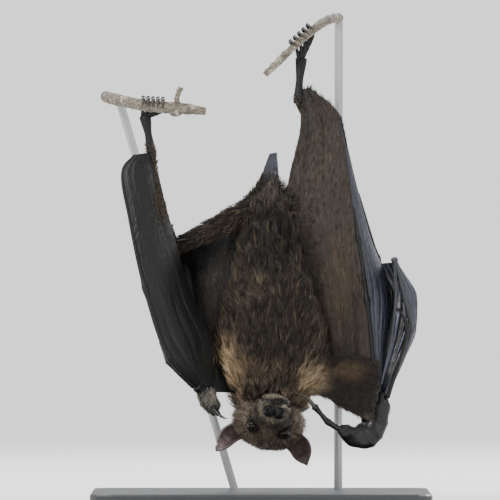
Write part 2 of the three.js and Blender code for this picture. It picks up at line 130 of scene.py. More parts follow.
def smooth_step(low: float, high: float, x: Array) -> Array:
    """Rises smoothly from 0 at low to 1 at high, which may be below low."""
    t = np.clip((np.asarray(x, float) - low) / (high - low), 0, 1)
    return t * t * (3 - 2 * t)


def bell(x: Array, middle: float, width: float) -> Array:
    """A bell curve of height one, with its peak at the middle."""
    return np.exp(-(((np.asarray(x, float) - middle) / width) ** 2))


def soft_noise(p: Array, size: float, seed: int, octaves: int = 2) -> Array:
    """Smooth random values that vary over about `size`, the same on each run.

    Args:
        p: points.
        size: the distance over which it varies.
        seed: which pattern.
        octaves: how many finer layers it adds.

    Returns:
        Numbers from about -1 to 1.
    """
    waves, fainter, finer, level = 6, 0.5, 0.47, 3.2
    rng = np.random.default_rng(seed)
    total = np.zeros(len(p))
    weight, reach = 1.0, size
    for _ in range(octaves):
        for _ in range(waves):
            direction = unit(rng.normal(size=3))
            turns = p @ direction * (2 * math.pi / reach) * rng.uniform(0.7, 1.4)
            total += weight * np.sin(turns + rng.uniform(0, 6.3))
        weight *= fainter
        reach *= finer
    return total / level


class Route:
    """A smooth curve through a few points."""

    def __init__(self, points: Iterable[Point]) -> None:
        """Keeps the points with one more beyond each end.

        Args:
            points: where the curve passes.
        """
        p = np.array([tuple(q) for q in points], float)
        self.points = np.vstack([2 * p[0] - p[1], p, 2 * p[-1] - p[-2]])
        self.spans = len(p) - 1

    def at(self, t: Array) -> Array:
        """Places on the curve.

        Args:
            t: from 0 to 1 along it.

        Returns:
            One point for each t.
        """
        place = np.clip(np.asarray(t, float), 0, 1) * self.spans
        i = np.minimum(place.astype(int), self.spans - 1)
        f = (place - i)[:, None]
        p0, p1, p2, p3 = (self.points[i + k] for k in range(4))

        def gap(a: Array, b: Array) -> Array:
            """The square root of the distance between two points."""
            return np.maximum(((b - a) ** 2).sum(1, keepdims=True) ** 0.25, 1e-4)

        d0, d1, d2 = gap(p0, p1), gap(p1, p2), gap(p2, p3)
        m1 = ((p1 - p0) / d0 - (p2 - p0) / (d0 + d1) + (p2 - p1) / d1) * d1
        m2 = ((p2 - p1) / d1 - (p3 - p1) / (d1 + d2) + (p3 - p2) / d2) * d1
        bend = (-3 * p1 + 3 * p2 - 2 * m1 - m2) * f**2
        return p1 + m1 * f + bend + (2 * p1 - 2 * p2 + m1 + m2) * f**3

    def ahead(self, t: Array) -> Array:
        """One unit vector along the curve for each t."""
        t = np.asarray(t, float)
        return unit(self.at(np.minimum(t + 1e-3, 1)) - self.at(np.maximum(t - 1e-3, 0)))


def spread(values: float | Sequence[float], t: Array) -> Array:
    """Reads a list of values that are spaced evenly from 0 to 1.

    Args:
        values: one number, or several.
        t: where to read.

    Returns:
        One value for each t.
    """
    row = np.atleast_1d(np.asarray(values, float))
    if len(row) == 1:
        return np.full(len(t), row[0])
    place = np.clip(t, 0, 1) * (len(row) - 1)
    i = np.minimum(place.astype(int), len(row) - 2)
    f = place - i
    f = 0.5 * f + 0.5 * f * f * (3 - 2 * f)
    return row[i] + (row[i + 1] - row[i]) * f


# ------------------------------------------------------------------ shapes
@dataclass
class Shape:
    """Corners and faces, in millimetres. A face row holds four corners, or three and -1."""

    corners: Array
    faces: Array

    def __add__(self, other: "Shape") -> "Shape":
        """Puts two shapes side by side in one."""
        shifted = np.where(other.faces >= 0, other.faces + len(self.corners), -1)
        return Shape(np.vstack([self.corners, other.corners]), np.vstack([self.faces, shifted]))

    def triangles(self) -> Array:
        """Splits the faces.

        Returns:
            Three corners for each triangle.
        """
        f = self.faces
        quads = f[f[:, 3] >= 0]
        return np.vstack([f[:, :3], quads[:, [0, 2, 3]]])

    def normals(self) -> Array:
        """Directions out of the surface.

        Returns:
            One unit vector for each corner.
        """
        tri = self.triangles()
        p = self.corners
        face = np.cross(p[tri[:, 1]] - p[tri[:, 0]], p[tri[:, 2]] - p[tri[:, 0]])
        out = np.zeros_like(p)
        for axis in range(3):
            for corner in range(3):
                out[:, axis] += np.bincount(tri[:, corner], face[:, axis], len(p))
        return unit(out)

    def smoothed(self, rounds: int, strength: Array | float = 0.5) -> "Shape":
        """Evens the surface out by moving each corner towards its neighbours.

        Args:
            rounds: how many times.
            strength: how far, for all corners or for each.

        Returns:
            The smoother shape.
        """
        tri = self.triangles()
        pairs = np.vstack([tri[:, [0, 1]], tri[:, [1, 2]], tri[:, [2, 0]]])
        edges = np.unique(np.sort(pairs, axis=1), axis=0)
        one, two = edges.T
        count = np.maximum(np.bincount(edges.ravel(), minlength=len(self.corners)), 1)[:, None]
        p = self.corners.copy()
        amount = np.reshape(strength, (-1, 1))
        for _ in range(rounds):
            sums = [
                np.bincount(one, p[two, a], len(p)) + np.bincount(two, p[one, a], len(p))
                for a in range(3)
            ]
            p += (np.stack(sums, axis=1) / count - p) * amount
        return Shape(p, self.faces)


def joined(shapes: Iterable[Shape]) -> Shape:
    """Puts several shapes side by side in one."""
    return reduce(add, shapes)


def faces_of(*corners: Array | int) -> Array:
    """Rows of four corner numbers, or of three and -1."""
    corners = corners if len(corners) == 4 else (*corners, -1)
    return np.stack(np.broadcast_arrays(*corners), axis=1)


def tube_faces(rings: int, sides: int, closed: bool = False) -> Array:
    """Joins rings of corners, one after another, with four-cornered faces.

    Args:
        rings: how many rings there are.
        sides: corners in each ring.
        closed: whether the last ring joins the first.

    Returns:
        The face rows.
    """
    i, k = np.meshgrid(np.arange(rings if closed else rings - 1), np.arange(sides), indexing="ij")
    i2, k2 = (i + 1) % rings, (k + 1) % sides
    rows = (i * sides + k, i2 * sides + k, i2 * sides + k2, i * sides + k2)
    return faces_of(*(row.ravel() for row in rows))


def loft(
    points: Iterable[Point],
    wide: float | Sequence[float],
    deep: float | Sequence[float] | None = None,
    sides: int = 20,
    steps: int = 40,
    away: Point = (0, 1, 0),
    tip: float = 0.6,
) -> Shape:
    """A round-ended solid along a smooth route.

    Args:
        points: the route.
        wide, deep: half sizes along it; as deep as wide if left out.
        sides: corners in each ring.
        steps: rings along the route.
        away: the direction of its back.
        tip: how far each end is drawn out, in radii.

    Returns:
        The closed shape.
    """
    route = Route(points)
    t = np.linspace(0, 1, steps + 1)
    middle, ahead = route.at(t), route.ahead(t)
    side = unit(np.cross(ahead, np.array(away, float)))
    rear = unit(np.cross(side, ahead))
    w, d = spread(wide, t), spread(wide if deep is None else deep, t)
    first, last = tip * min(w[0], d[0]), tip * min(w[-1], d[-1])
    before, after = [], []
    for k in range(1, CAP_RINGS + 1):
        a = k / (CAP_RINGS + 1) * math.pi / 2
        for end, reach, row in ((0, -first, before), (-1, last, after)):
            place = middle[end] + ahead[end] * reach * math.sin(a)
            row.append((place, side[end], rear[end], w[end] * math.cos(a), d[end] * math.cos(a)))
    rings = before[::-1] + list(zip(middle, side, rear, w, d)) + after
    angle = np.linspace(0, 2 * math.pi, sides, endpoint=False)
    corners = [
        m + np.outer(np.cos(angle) * rw, s) + np.outer(np.sin(angle) * rd, r)
        for m, s, r, rw, rd in rings
    ]
    corners = np.vstack(corners + [middle[:1] - ahead[:1] * first, middle[-1:] + ahead[-1:] * last])
    k = np.arange(sides)
    k2 = (k + 1) % sides
    total = len(rings) * sides
    base = total - sides
    caps = [faces_of(k2, total, k), faces_of(base + k, total + 1, base + k2)]
    return Shape(corners, np.vstack([tube_faces(len(rings), sides)] + caps))


def ball(middle: Point, radii: Point, segments: int = 24, axes: Array | None = None) -> Shape:
    """An egg-shaped solid.

    Args:
        middle: its centre.
        radii: its half sizes.
        segments: faces round it.
        axes: three unit vectors as rows, or the model's own.

    Returns:
        The closed shape.
    """
    rows = max(segments // 2, 4)
    theta = np.linspace(0, math.pi, rows + 1)[1:-1]
    phi = np.linspace(0, 2 * math.pi, segments, endpoint=False)
    grid = np.array(
        [
            (math.sin(a) * math.cos(b), math.sin(a) * math.sin(b), math.cos(a))
            for a in theta for b in phi
        ]
    )
    p = np.vstack([grid, [[0, 0, 1]], [[0, 0, -1]]]) * np.array(radii, float)
    if axes is not None:
        p = p @ axes
    p += np.array(middle, float)
    k = np.arange(segments)
    k2 = (k + 1) % segments
    top, base = len(grid), (rows - 2) * segments
    caps = [faces_of(k, k2, top), faces_of(base + k2, base + k, top + 1)]
    shape = Shape(p, np.vstack([tube_faces(rows - 1, segments)] + caps))
    if axes is not None and np.linalg.det(axes) < 0:
        shape.faces[:, [0, 2]] = shape.faces[:, [2, 0]]
    return shape


@dataclass
class Membrane:
    """A thin sheet of skin between two edges.

    Args:
        edge_a, edge_b: where the sheet's two long edges run.
        bulge: how far its middle stands out, along its length.
        towards: the direction it stands out in.
        across, along: faces over and along it.
        thick: its thickness.
        relief: a function of the places over (u) and along (v) it that gives creases.
    """

    edge_a: Sequence[Point]
    edge_b: Sequence[Point]
    bulge: float | Sequence[float] = 0.0
    towards: Point = (0, -1, 0)
    across: int = 48
    along: int = 150
    thick: float = 0.45
    relief: Callable[[Array, Array], Array] | None = None

    def grid(self) -> tuple[Array, Array, Array, Array]:
        """The sheet's middle surface.

        Returns:
            Points, normals, u and v, each flat.
        """
        v, u = np.meshgrid(
            np.linspace(0, 1, self.along + 1), np.linspace(0, 1, self.across + 1), indexing="ij"
        )
        rows = np.linspace(0, 1, self.along + 1)
        a, b = Route(self.edge_a).at(rows), Route(self.edge_b).at(rows)
        p = a[:, None] * (1 - u[..., None]) + b[:, None] * u[..., None]
        lift = spread(self.bulge, rows)[:, None] * 4 * u * (1 - u)
        p = p + lift[..., None] * unit(np.array(self.towards, float))
        normal = self.facing(p)
        if self.relief is not None:
            p = p + normal * self.relief(u, v)[..., None]
            normal = self.facing(p)
        return p.reshape(-1, 3), normal.reshape(-1, 3), u.ravel(), v.ravel()

    @staticmethod
    def facing(p: Array) -> Array:
        """One unit normal for each point of a grid in rows and columns."""
        return unit(np.cross(np.gradient(p, axis=1), np.gradient(p, axis=0)))

    def chart(self) -> Array:
        """The place of each corner on the unwrapped sheet, its front beside its back."""
        _, _, u, v = self.grid()
        return np.vstack([np.stack([u * 0.49, v], axis=1), np.stack([0.51 + u * 0.49, v], axis=1)])

    def shape(self) -> Shape:
        """Builds the closed sheet.

        Returns:
            Its shape.
        """
        p, n, u, v = self.grid()
        edge = np.minimum.reduce([u, 1 - u, v, 1 - v])
        half = self.thick / 2 * (1 + 0.8 * bell(edge, 0, 0.012))[:, None]
        corners = np.vstack([p + n * half, p - n * half])
        cols = self.across + 1
        i, k = np.meshgrid(np.arange(self.along), np.arange(self.across), indexing="ij")
        a = (i * cols + k).ravel()
        layer = cols * (self.along + 1)
        top = faces_of(a, a + 1, a + cols + 1, a + cols)
        under = top[:, ::-1] + layer
        rim = np.concatenate(
            [
                np.arange(cols),
                np.arange(1, self.along + 1) * cols + self.across,
                (self.along * cols + np.arange(self.across - 1, -1, -1)),
                np.arange(self.along - 1, 0, -1) * cols,
            ]
        )
        after = np.roll(rim, -1)
        wall = faces_of(rim, rim + layer, after + layer, after)
        return Shape(corners, np.vstack([top, under, wall]))


# ------------------------------------------------------------------ head directions
def turned(v: Point) -> Array:
    """Turns a direction with the head.

    Args:
        v: the direction before the head's roll and yaw.

    Returns:
        The direction in the model.
    """
    roll, yaw = math.radians(HEAD_ROLL), math.radians(HEAD_YAW)
    x, y, z = v
    x, z = x * math.cos(roll) + z * math.sin(roll), -x * math.sin(roll) + z * math.cos(roll)
    return np.array(
        (x * math.cos(yaw) - y * math.sin(yaw), x * math.sin(yaw) + y * math.cos(yaw), z)
    )


# to the side, noseward and crownward
HEAD_AXES = np.array([turned((1, 0, 0)), turned((0, -1, 0)), turned((0, 0, -1))])


def on_head(s: float, n: float, c: float) -> Array:
    """The place at these distances to the bat's right, out of the nose and to the crown."""
    return np.array(HEAD_MIDDLE) + np.array((s, n, c), float) @ HEAD_AXES


def head_places(p: Array) -> Array:
    """The side, noseward and crownward distances of points, in columns."""
    return (p - np.array(HEAD_MIDDLE)) @ HEAD_AXES.T


EYES = {side: on_head(side * EYE_SIDE, EYE_NOSEWARD, EYE_CROWNWARD) for side, _ in SIDES}
GAZE = {side: unit(np.array((side * 0.4, 0.91, 0.06)) @ HEAD_AXES) for side, _ in SIDES}


def eye_axes(side: int) -> tuple[Array, Array, Array]:
    """The directions of one eye.

    Args:
        side: -1 for left and 1 for right.

    Returns:
        Where it looks, up to the crown and out to its own side.
    """
    gaze = GAZE[side]
    up = unit(HEAD_AXES[2] - gaze * (HEAD_AXES[2] @ gaze))
    across = np.cross(up, gaze)
    return gaze, up, across * np.sign(across @ (HEAD_AXES[0] * side))


# ------------------------------------------------------------------ meshes
def put(name: str, data: bpy.types.ID) -> bpy.types.Object:
    """Puts an object in the scene.

    Args:
        name: its name.
        data: its mesh, light or camera.

    Returns:
        The object.
    """
    thing = bpy.data.objects.new(name, data)
    bpy.context.scene.collection.objects.link(thing)
    return thing


def mesh_of(name: str, shape: Shape) -> bpy.types.Mesh:
    """Makes a mesh in metres.

    Args:
        name: its name.
        shape: its corners and faces.

    Returns:
        The mesh.
    """
    mesh = bpy.data.meshes.new(name)
    faces = shape.faces
    sizes = np.where(faces[:, 3] < 0, 3, 4)
    loops = faces.ravel()
    loops = loops[loops >= 0]
    mesh.vertices.add(len(shape.corners))
    mesh.vertices.foreach_set("co", (shape.corners * MM).astype(np.float32).ravel())
    mesh.loops.add(len(loops))
    mesh.loops.foreach_set("vertex_index", loops.astype(np.int32))
    mesh.polygons.add(len(faces))
    mesh.polygons.foreach_set(
        "loop_start", np.concatenate([[0], np.cumsum(sizes)[:-1]]).astype(np.int32)
    )
    mesh.polygons.foreach_set("use_smooth", np.ones(len(faces), bool))
    mesh.update(calc_edges=True)
    mesh.validate()
    return mesh


def shape_of(mesh: bpy.types.Mesh) -> Shape:
    """Reads a mesh back.

    Args:
        mesh: the mesh.

    Returns:
        Its shape.
    """
    corners = np.empty(len(mesh.vertices) * 3, np.float32)
    mesh.vertices.foreach_get("co", corners)
    start, total = np.empty((2, len(mesh.polygons)), np.int32)
    loops = np.empty(len(mesh.loops), np.int32)
    mesh.polygons.foreach_get("loop_start", start)
    mesh.polygons.foreach_get("loop_total", total)
    mesh.loops.foreach_get("vertex_index", loops)
    faces = np.full((len(start), 4), -1, np.int64)
    for k in range(4):
        has = total > k
        faces[has, k] = loops[start[has] + k]
    return Shape(corners.reshape(-1, 3).astype(float), faces)


def fused(shape: Shape, voxel: float) -> Shape:
    """Joins overlapping solids in one skin without seams.

    Args:
        shape: the solids.
        voxel: the size of its faces.

    Returns:
        One closed shape.
    """
    mesh = mesh_of("fusing", Shape(shape.corners / MM, shape.faces))
    holder = put("fusing", mesh)
    remesh = holder.modifiers.new("fuse", "REMESH")
    remesh.mode = "VOXEL"
    remesh.voxel_size = voxel
    result = bpy.data.meshes.new_from_object(
        holder.evaluated_get(bpy.context.evaluated_depsgraph_get())
    )
    out = shape_of(result)
    bpy.data.objects.remove(holder)
    bpy.data.meshes.remove(mesh)
    bpy.data.meshes.remove(result)
    return out


def refined(shape: Shape, pick: Array) -> Shape:
    """Splits some faces in four, and joins them to their neighbours without gaps.

    Args:
        shape: the shape.
        pick: which corners lie where it gets finer.

    Returns:
        The finer shape.
    """
    mesh = mesh_of("refining", Shape(shape.corners / MM, shape.faces))
    work = bmesh.new()
    work.from_mesh(mesh)
    work.verts.ensure_lookup_table()
    edges = [e for e in work.edges if pick[e.verts[0].index] and pick[e.verts[1].index]]
    bmesh.ops.subdivide_edges(work, edges=edges, cuts=1, use_grid_fill=True)
    bmesh.ops.triangulate(work, faces=[f for f in work.faces if len(f.verts) > 4])
    work.to_mesh(mesh)
    work.free()
    out = shape_of(mesh)
    bpy.data.meshes.remove(mesh)
    return out


def add_piece(
    name: str,
    shape: Shape,
    material: Material,
    replaces: Sequence[str] = (),
    values: dict[str, Array] | None = None,
) -> bpy.types.Object:
    """Puts a piece in the scene, on the model's one body.

    Args:
        name: its name.
        shape: its shape.
        material: its finish.
        replaces: the solids that it stands for.
        values: one number for each corner, by attribute name.

    Returns:
        The object.
    """
    mesh = mesh_of(name, shape)
    mesh.materials.append(material)
    for key, numbers in (values or {}).items():
        layer = mesh.attributes.new(key, "FLOAT", "POINT")
        layer.data.foreach_set("value", np.asarray(numbers, np.float32))
    piece = put(name, mesh)
    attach(piece, BODY)
    if replaces:
        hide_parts(*replaces)
    LOG.info("%s: %d faces", name, len(mesh.polygons))
    return piece


# ------------------------------------------------------------------ shader building blocks
def rgb(red: float, green: float, blue: float) -> tuple[float, float, float, float]:
    """A screen colour, each part from 0 to 255, as a linear shader colour with full alpha."""
    linear = [
        ((v / 255 + 0.055) / 1.055) ** 2.4 if v > 10 else v / 255 / 12.92
        for v in (red, green, blue)
    ]
    return (*linear, 1.0)


def metres(v: Point) -> tuple[float, ...]:
    """Millimetres as metres, for a shader."""
    return tuple(part * MM for part in v)


class Bench:
    """Adds and joins the nodes of one material or group."""

    def __init__(self, tree: Tree) -> None:
        """Keeps the material's or group's node tree."""
        self.tree = tree

    def plug(self, node: Node, inputs: dict) -> None:
        """Sets a node's inputs, or joins sockets to them.

        Args:
            node: the node.
            inputs: values or sockets, by input name or number.
        """
        for key, value in inputs.items():
            if isinstance(value, Socket):
                self.tree.links.new(value, node.inputs[key])
            else:
                node.inputs[key].default_value = value

    def add(self, kind: str, inputs: dict | None = None, **settings: object) -> Node:
        """Adds a node.

        Args:
            kind: the node's type.
            inputs: values or sockets, by input name or number.
            settings: the node's own settings.

        Returns:
            The node.
        """
        node = self.tree.nodes.new(kind)
        for key, value in settings.items():
            setattr(node, key, value)
        self.plug(node, inputs or {})
        return node

    def math(self, operation: str, a: object, b: object) -> Socket:
        """Works out a number from two numbers or sockets."""
        return self.add("ShaderNodeMath", {0: a, 1: b}, operation=operation).outputs[0]

    def vector(self, operation: str, inputs: dict) -> Socket:
        """Works out a place, or a number for a length or a dot product."""
        outputs = self.add("ShaderNodeVectorMath", inputs, operation=operation).outputs
        return outputs["Value" if operation in ("LENGTH", "DOT_PRODUCT") else "Vector"]

    def rise(
        self, value: object, low: float, high: float, to_low: float = 0.0, to_high: float = 1.0
    ) -> Socket:
        """Rises smoothly from to_low, where the value is low, to to_high, where it is high."""
        inputs = {
            "Value": value, "From Min": low, "From Max": high, "To Min": to_low, "To Max": to_high
        }
        return self.add(
            "ShaderNodeMapRange", inputs, interpolation_type="SMOOTHSTEP"
        ).outputs["Result"]

    def mix(self, share: object, a: object, b: object, blend: str = "MIX") -> Socket:
        """Mixes two colours, with this share of the second."""
        return self.add(
            "ShaderNodeMix", {0: share, 6: a, 7: b}, data_type="RGBA", blend_type=blend
        ).outputs[2]

    def noise(
        self, place: object, scale: float, detail: float = 3.0, roughness: float = 0.55
    ) -> Socket:
        """Cloudy noise, finer with a larger scale or more detail."""
        inputs = {"Vector": place, "Scale": scale, "Detail": detail, "Roughness": roughness}
        return self.add("ShaderNodeTexNoise", inputs).outputs[0]

    def stretched(self, place: object, scale: Point) -> Socket:
        """Scales places, to draw noise out along a direction."""
        return self.add("ShaderNodeMapping", {"Vector": place, "Scale": tuple(scale)}).outputs[0]

    def group(self, tree: Tree, inputs: dict) -> Node:
        """Places a node group with its values or sockets."""
        return self.add("ShaderNodeGroup", inputs, node_tree=tree)

    def attribute(self, name: str) -> Socket:
        """Reads the numbers that a mesh carries under this name."""
        return self.add("ShaderNodeAttribute", attribute_name=name).outputs["Fac"]

    def bump(self, height: Socket, strength: float, distance: float) -> Socket:
        """Turns a height into a normal, with the distance in metres."""
        return self.add(
            "ShaderNodeBump", {"Height": height, "Strength": strength, "Distance": distance}
        ).outputs[0]


def new_group(
    name: str, inputs: dict[str, tuple[str, object]], outputs: dict[str, str]
) -> tuple[Tree, Bench, dict, Node]:
    """Starts a shader node group.

    Args:
        name: its name.
        inputs: socket kind and starting value by name.
        outputs: socket kind by name.

    Returns:
        The group, a bench for it, its inputs' sockets and its output node.
    """
    tree = bpy.data.node_groups.new(name, "ShaderNodeTree")
    for key, (kind, value) in inputs.items():
        socket = tree.interface.new_socket(key, in_out="INPUT", socket_type=f"NodeSocket{kind}")
        if value is not None:
            socket.default_value = value
    for key, kind in outputs.items():
        tree.interface.new_socket(key, in_out="OUTPUT", socket_type=f"NodeSocket{kind}")
    bench = Bench(tree)
    given = bench.add("NodeGroupInput")
    return tree, bench, {key: given.outputs[key] for key in inputs}, bench.add("NodeGroupOutput")


@dataclass(frozen=True)
class Marking:
    """A patch of coat colour, or a painted shadow on the coat.

    Args:
        middle: its centre.
        reach: its half sizes.
        tint: its colour.
        soft: how wide its border is, as a share of its size.
        strength: how strong it is at its middle.
    """

    middle: Point
    reach: Point
    tint: Point
    soft: float
    strength: float


def face_mark(
    s: float, n: float, c: float, reach: Point, tint: Point, soft: float, strength: float
) -> Marking:
    """A marking that is placed in head directions."""
    return Marking(tuple(on_head(s, n, c)), reach, tint, soft, strength)


class CoatMarkings:
    """The colours of the coat by place, with painted shadows by the right flank and under the right
    panel, the same on the skin and on the fur.
    """

    GROUND = (38, 32, 27)
    PALE_HAIRS = (132, 116, 90)
    MARKINGS = (
        Marking((8, -24, 122), (32, 40, 40), (27, 23, 20), 0.6, 0.9),
        Marking((8, -20, 190), (34, 40, 40), (21, 18, 16), 0.6, 0.95),
        Marking((6, 10, 60), (50, 40, 46), (110, 98, 85), 0.4, 1.0),
        Marking((6, 28, 106), (60, 26, 46), (112, 88, 60), 0.6, 0.8),
        Marking((-25, -6, 99), (25, 34, 31), (132, 113, 86), 0.9, 1.0),
        Marking((-33, -6, 92), (13, 30, 20), (186, 166, 134), 0.85, 0.9),
        Marking((38, -8, 88), (24, 32, 22), (158, 138, 111), 0.9, 1.0),
        Marking((4, -30, 96), (22, 24, 13), (66, 55, 45), 0.7, 0.7),
        face_mark(1, 36, -11.5, (17.5, 17, 15), (120, 113, 100), 0.5, 1.0),
        face_mark(0, 22, 0, (5, 12, 8), (98, 88, 76), 0.8, 0.6),
        face_mark(0, 14, 14, (26, 10, 9), (104, 93, 80), 0.8, 0.8),
        face_mark(-11.4, 17, 4.4, (8.6, 8.6, 8.2), (26, 20, 18), 0.45, 0.95),
        face_mark(11.4, 17, 4.4, (8.6, 8.6, 8.2), (26, 20, 18), 0.45, 0.95),
        face_mark(12.5, 15, -3.5, (6, 9, 8), (36, 29, 25), 0.7, 0.75),
        face_mark(0, 38, -16.1, (12.5, 10, 4.2), (20, 17, 16), 0.6, 1.0),
        Marking((-38, -30, 78), (12, 14, 12), (142, 137, 126), 0.7, 0.95),
        Marking((52, -2, 190), (32, 30, 112), (50, 42, 35), 0.5, 0.9),
        # painted shadow: darker coat on the right wing panel beside the flank, where shade falls
        Marking((30, -2, 150), (13, 26, 52), (30, 26, 23), 0.9, 0.9),
        Marking((56, -10, 168), (17, 30, 62), (86, 71, 50), 0.9, 0.85),
        # painted shadow: darker coat over the right arm, under the lower fold of the wing panel
        Marking((60, -14, 112), (27, 26, 9), (33, 28, 26), 0.7, 0.95),
        Marking((66, -18, 96), (20, 24, 11), (94, 79, 61), 0.8, 0.95),
        Marking((56, -18, 76), (34, 24, 12), (40, 33, 29), 0.7, 0.95),
        Marking((-76, -26, 215), (22, 30, 44), (62, 51, 39), 0.6, 0.8),
    )

    def __init__(self) -> None:
        """Builds the node group."""
        self.tree, bench, given, out = new_group(
            "CoatMarkings", {"Place": ("Vector", None)}, {"Color": "Color"}
        )
        place = given["Place"]
        wander = bench.noise(place, 95.0, 2.0)
        wide = bench.noise(place, 30.0, 2.0)
        color = bench.mix(
            bench.rise(wide, 0.35, 0.7), rgb(*self.GROUND), rgb(*(v * 1.25 for v in self.GROUND))
        )
        for mark in self.MARKINGS:
            away = bench.vector("SUBTRACT", {0: place, 1: metres(mark.middle)})
            far = bench.vector(
                "LENGTH", {0: bench.vector("DIVIDE", {0: away, 1: metres(mark.reach)})}
            )
            ragged = bench.math(
                "ADD", far, bench.math("MULTIPLY", bench.math("SUBTRACT", wander, 0.5), 0.9)
            )
            share = bench.rise(ragged, 1.0, 1.0 - mark.soft, 0.0, mark.strength)
            color = bench.mix(share, color, rgb(*mark.tint))
        bench.plug(out, {"Color": color})


class SkinCreases:
    """Fine crossing creases and pores of bare skin, as a height."""

    def __init__(self) -> None:
        """Builds the node group."""
        values = {"Place": ("Vector", None), "Scale": ("Float", 1.0), "Grain": ("Float", 0.4)}
        self.tree, bench, given, out = new_group(
            "SkinCreases", values, {"Height": "Float", "Cells": "Float"}
        )
        place = bench.vector("SCALE", {0: given["Place"], 3: given["Scale"]})
        warped = bench.add("ShaderNodeTexNoise", {"Vector": place, "Scale": 160.0, "Detail": 2.0})
        moved = bench.vector(
            "ADD", {0: place, 1: bench.vector("SCALE", {0: warped.outputs[1], 3: 0.004})}
        )
        voronoi = {"Vector": moved, "Scale": 420.0}
        cells = bench.add("ShaderNodeTexVoronoi", voronoi, feature="DISTANCE_TO_EDGE").outputs[0]
        folds = bench.rise(cells, 0.0, 0.3)
        grain = bench.noise(place, 1500.0, 3.0)
        height = bench.math("ADD", folds, bench.math("MULTIPLY", grain, given["Grain"]))
        bench.plug(out, {"Height": height, "Cells": folds})


class Wear:
    """Soft marks and rubbed spots of handled or weathered surfaces."""

    def __init__(self) -> None:
        """Builds the node group."""
        values = {"Place": ("Vector", None), "Scale": ("Float", 1.0)}
        self.tree, bench, given, out = new_group(
            "Wear", values, {"Marks": "Float", "Grain": "Float"}
        )
        place = bench.vector("SCALE", {0: given["Place"], 3: given["Scale"]})
        cloud = bench.noise(place, 40.0, 4.0)
        fine = bench.noise(place, 900.0, 4.0, 0.65)
        marks = bench.math("MULTIPLY", bench.rise(cloud, 0.45, 0.75), bench.rise(fine, 0.3, 0.7))
        bench.plug(out, {"Marks": marks, "Grain": fine})


@dataclass
class Workshop:
    """The shared effects, each built once.

    Args:
        markings: the coat's colours and its painted shadows.
        creases: the folds of bare skin.
        wear: marks and grain.
    """

    markings: CoatMarkings = field(default_factory=CoatMarkings)
    creases: SkinCreases = field(default_factory=SkinCreases)
    wear: Wear = field(default_factory=Wear)


def new_material(name: str) -> tuple[Material, Bench, Node, Socket]:
    """Starts a material.

    Args:
        name: its name.

    Returns:
        The material, a bench for its nodes, its Principled shader and the socket of object places.
    """
    material = bpy.data.materials.new(name)
    material.use_nodes = True
    bench = Bench(material.node_tree)
    place = bench.add("ShaderNodeTexCoord").outputs["Object"]
    return material, bench, material.node_tree.nodes["Principled BSDF"], place


@dataclass(frozen=True)
class FurFinish:
    """The coat: markings and painted shadows by place, dark roots and paler tips.

    Args:
        name: the material's name.
        roots, tips: brightness at the two ends of a tuft.
        pale: how many pale hairs there are, from 0 to 1.
        vary: how dark and how bright whole locks are.
        solid: whether it is the skin under the coat.
    """

    name: str
    roots: float = 0.4
    tips: float = 1.65
    pale: float = 0.5
    vary: tuple[float, float] = (0.38, 1.75)
    solid: bool = False

    def build(self, shop: Workshop) -> Material:
        """Makes the material.

        Args:
            shop: the shared effects.

        Returns:
            The material.
        """
        material, bench, shader, place = new_material(self.name)
        color = bench.group(shop.markings.tree, {"Place": place}).outputs["Color"]
        if self.solid:
            streak = bench.noise(bench.stretched(place, (1, 1, 0.16)), 1400.0, 2.0)
            color = bench.mix(
                1.0, color, bench.mix(streak, rgb(110, 110, 110), rgb(205, 200, 190)), "MULTIPLY"
            )
            bench.plug(shader, {"Normal": bench.bump(streak, 0.5, 0.0006)})
        else:
            strand, chance = bench.attribute("strand"), bench.attribute("chance")
            bright = bench.rise(strand, 0.0, 1.0, self.roots, self.tips)
            vary = bench.math("MULTIPLY", bright, bench.rise(chance, 0.15, 0.85, *self.vary))
            shade = bench.add("ShaderNodeCombineColor", {0: vary, 1: vary, 2: vary}).outputs[0]
            color = bench.mix(1.0, color, shade, "MULTIPLY")
            pale = bench.math(
                "MULTIPLY",
                bench.rise(chance, 0.78, 0.92),
                bench.rise(strand, 0.1, 0.8, 0.0, self.pale),
            )
            color = bench.mix(pale, color, rgb(*CoatMarkings.PALE_HAIRS), "SCREEN")
        sheen = {"Sheen Weight": 0.05, "Sheen Roughness": 0.5}
        bench.plug(
            shader, {"Base Color": color, "Roughness": 0.58, "Specular IOR Level": 0.2, **sheen}
        )
        return material


